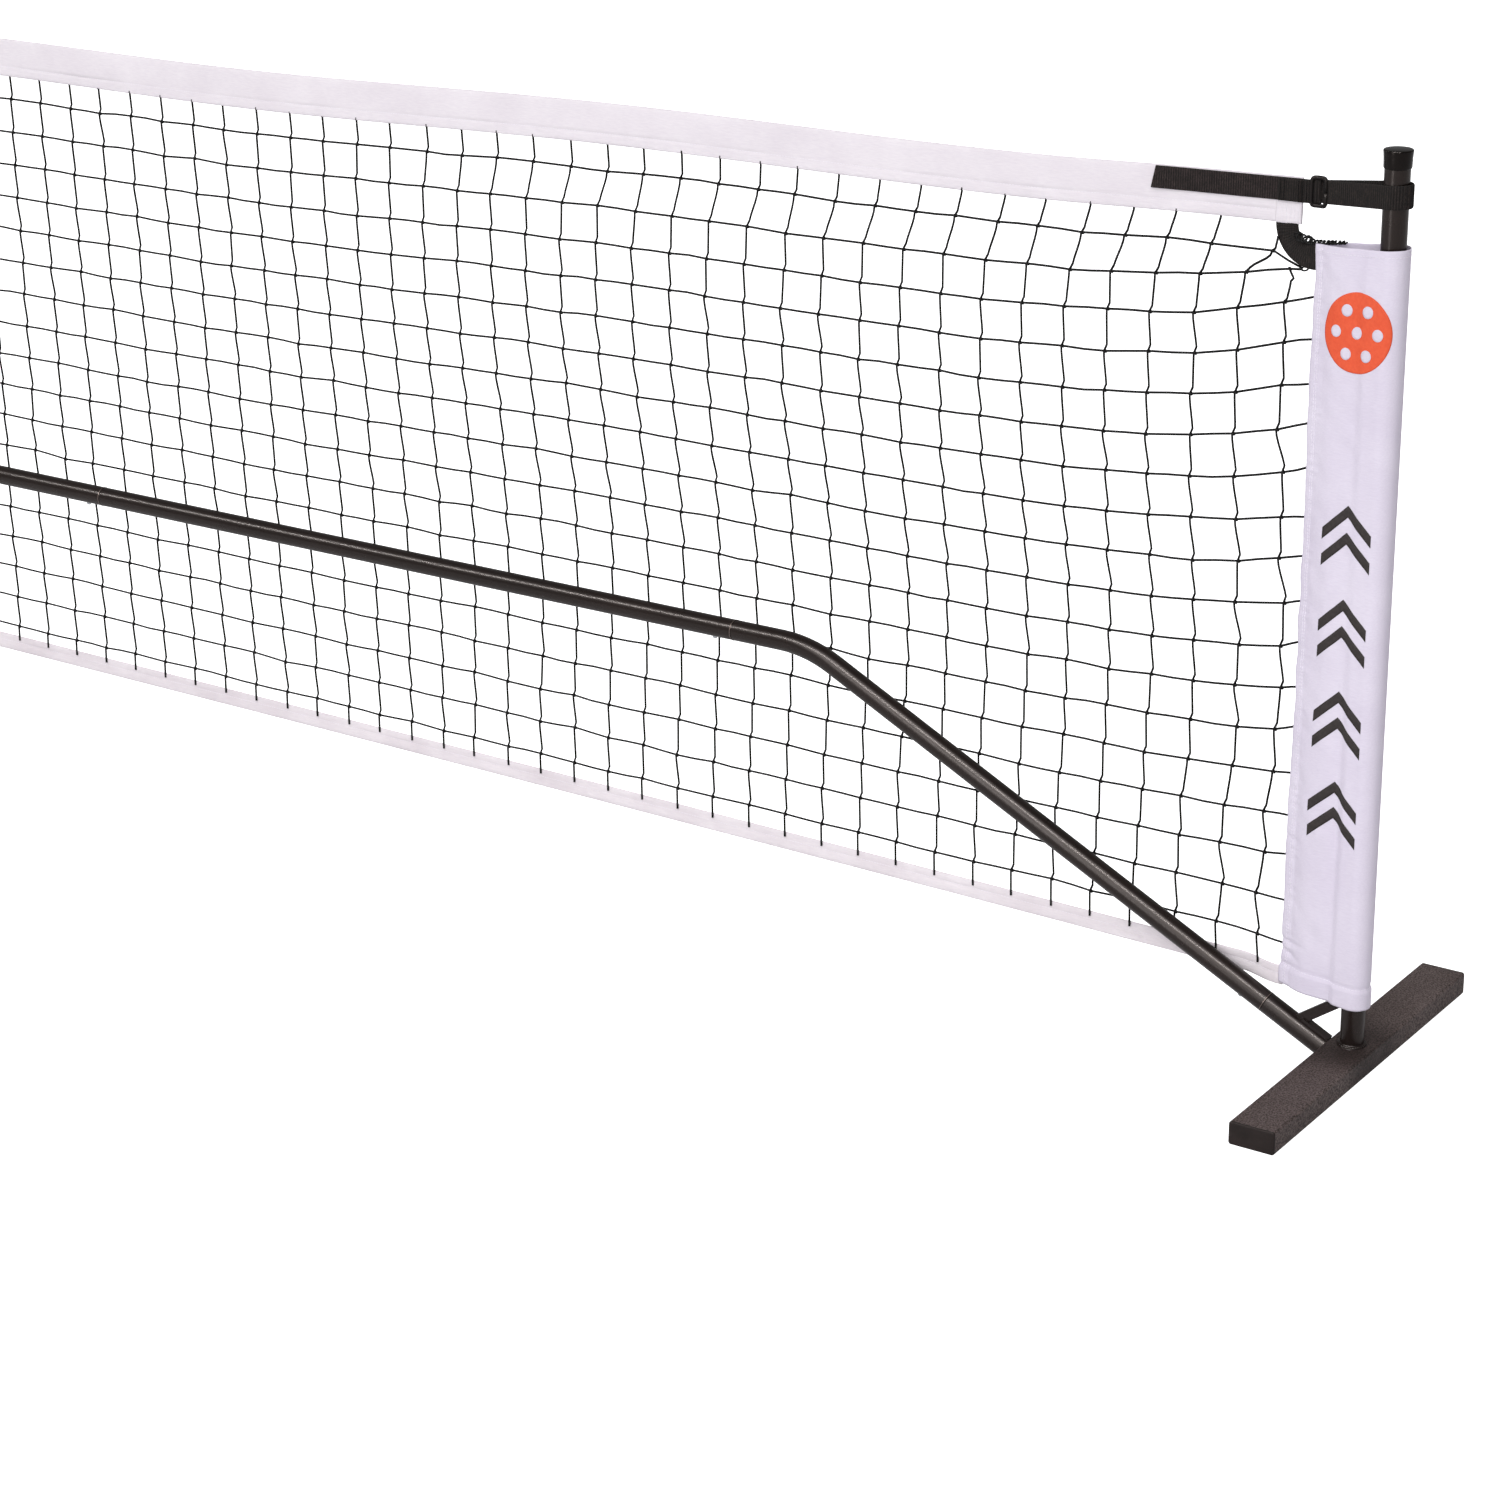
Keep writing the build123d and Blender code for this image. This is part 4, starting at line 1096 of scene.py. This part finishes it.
# ---- the object ----------------------------------------------------------------------------------
def build():
    carried_over()
    netting()
    band("headband", HEADBAND_PROFILE, BAND_STITCH, band_top, BAND_REACH, 5, BAND_CLOTH)
    band("footband", FOOTBAND_PROFILE, FOOTBAND_STITCH, footband_top, FOOTBAND_REACH, 8,
         FOOTBAND_CLOTH, bends=True)
    for side_name, side in SIDES.items():
        for make in (band_end, sleeve, strap_tail, post_webbing, webbing_fold, webbing_stitching,
                     slide_buckle, corner_strap, corner_lashing, post_cap):
            make(side_name, side)
    centre_tie()
    weld_beads()
    tube_seams()
    brace_welds()


# ---- stage ---------------------------------------------------------------------------------------
def floor():
    """A pale floor, which is brighter to the camera than to the object."""
    finish = Finish("floor_paint", 0.7, Specular_IOR_Level=0.2)
    tone = finish.noise(0.8, 2)
    finish.colour(finish.ramp(tone, (0.3, linear(212, 212, 214)), (0.7, linear(218, 218, 220))))
    seen = finish.node("ShaderNodeLightPath", {}, {})["Is Camera Ray"]
    finish.shader.inputs["Emission Color"].default_value = (1, 1, 1, 1)
    finish.links.new(seen, finish.shader.inputs["Emission Strength"])
    mesh = bpy.data.meshes.new("floor")
    corners = np.array([[(x, y, 0) for x in (-20, 20)] for y in (-20, 20)], float)
    vertices, faces = lattice(corners)
    mesh.from_pydata(vertices.tolist(), [], faces)
    mesh.materials.append(finish.material)
    made = bpy.data.objects.new("floor", mesh)
    bpy.context.scene.collection.objects.link(made)


def area_light(name, place, target, size, power):
    light = bpy.data.lights.new(name, "AREA")
    light.shape = "RECTANGLE"
    light.size, light.size_y = size
    light.energy = power
    lamp = bpy.data.objects.new(name, light)
    lamp.location = place
    lamp.rotation_mode = "QUATERNION"
    lamp.rotation_quaternion = (Vector(target) - Vector(place)).to_track_quat("-Z", "Y")
    lamp.visible_camera = False
    bpy.context.scene.collection.objects.link(lamp)
    return lamp


def soft_sun(name, energy, turn):
    """A sun so wide that it lights like a patch of sky. Its turn is in degrees."""
    sun = bpy.data.lights.new(name, "SUN")
    sun.energy = energy
    sun.angle = math.radians(60)
    lamp = bpy.data.objects.new(name, sun)
    lamp.rotation_euler = [math.radians(angle) for angle in turn]
    bpy.context.scene.collection.objects.link(lamp)
    return lamp


def lights():
    world = bpy.data.worlds.new("studio")
    world.use_nodes = True
    nodes, links = world.node_tree.nodes, world.node_tree.links
    nodes["Background"].inputs["Color"].default_value = (1, 1, 1, 1)
    seen = nodes.new("ShaderNodeMapRange")
    seen.inputs["To Min"].default_value = 0.26
    seen.inputs["To Max"].default_value = 1.0
    links.new(nodes.new("ShaderNodeLightPath").outputs["Is Camera Ray"], seen.inputs["Value"])
    links.new(seen.outputs["Result"], nodes["Background"].inputs["Strength"])
    bpy.context.scene.world = world
    soft_sun("sky", 2.0, (46, 12, 0))
    behind = soft_sun("sky_behind", 1.3, (-50, -10, 0))
    behind.visible_glossy = False        # it fills the far side and leaves no line on the tubes
    bar_x = POST_X - 1.6
    strip = area_light("strip", (bar_x, -2.1, 2.9), (bar_x, 0, 0.35), size=(7.0, 0.08), power=190)
    strip.visible_diffuse = False        # it only draws the bright line along the tubes
    area_light("left_panel", (POST_X - 0.9, -3.2, 1.0), (POST_X, 0, 0.5), size=(0.3, 1.8), power=18)
    bpy.context.scene.view_settings.view_transform = "Standard"


def camera():
    """A long lens, right of the right-hand post and in front of it, looking down along the net."""
    yaw, pitch, roll = math.radians(34.2426), math.radians(20.93), math.radians(-0.63)
    level = math.cos(pitch)
    forward = Vector((-math.sin(yaw) * level, math.cos(yaw) * level, -math.sin(pitch)))
    right = Vector((math.cos(yaw), math.sin(yaw), 0))
    up = right.cross(forward)
    c, s = math.cos(roll), math.sin(roll)
    right, up = right * c + up * s, up * c - right * s
    lens = bpy.data.cameras.new("camera")
    lens.sensor_width = 36
    lens.lens = 89.1
    lens.clip_end = 60
    made = bpy.data.objects.new("camera", lens)
    turn = Matrix((right, up, -forward)).transposed().to_4x4()
    made.matrix_world = Matrix.Translation((POST_X + 1.4256, -3.1805, 1.6655)) @ turn
    bpy.context.scene.collection.objects.link(made)
    bpy.context.scene.camera = made


camera()
lights()
floor()
build()
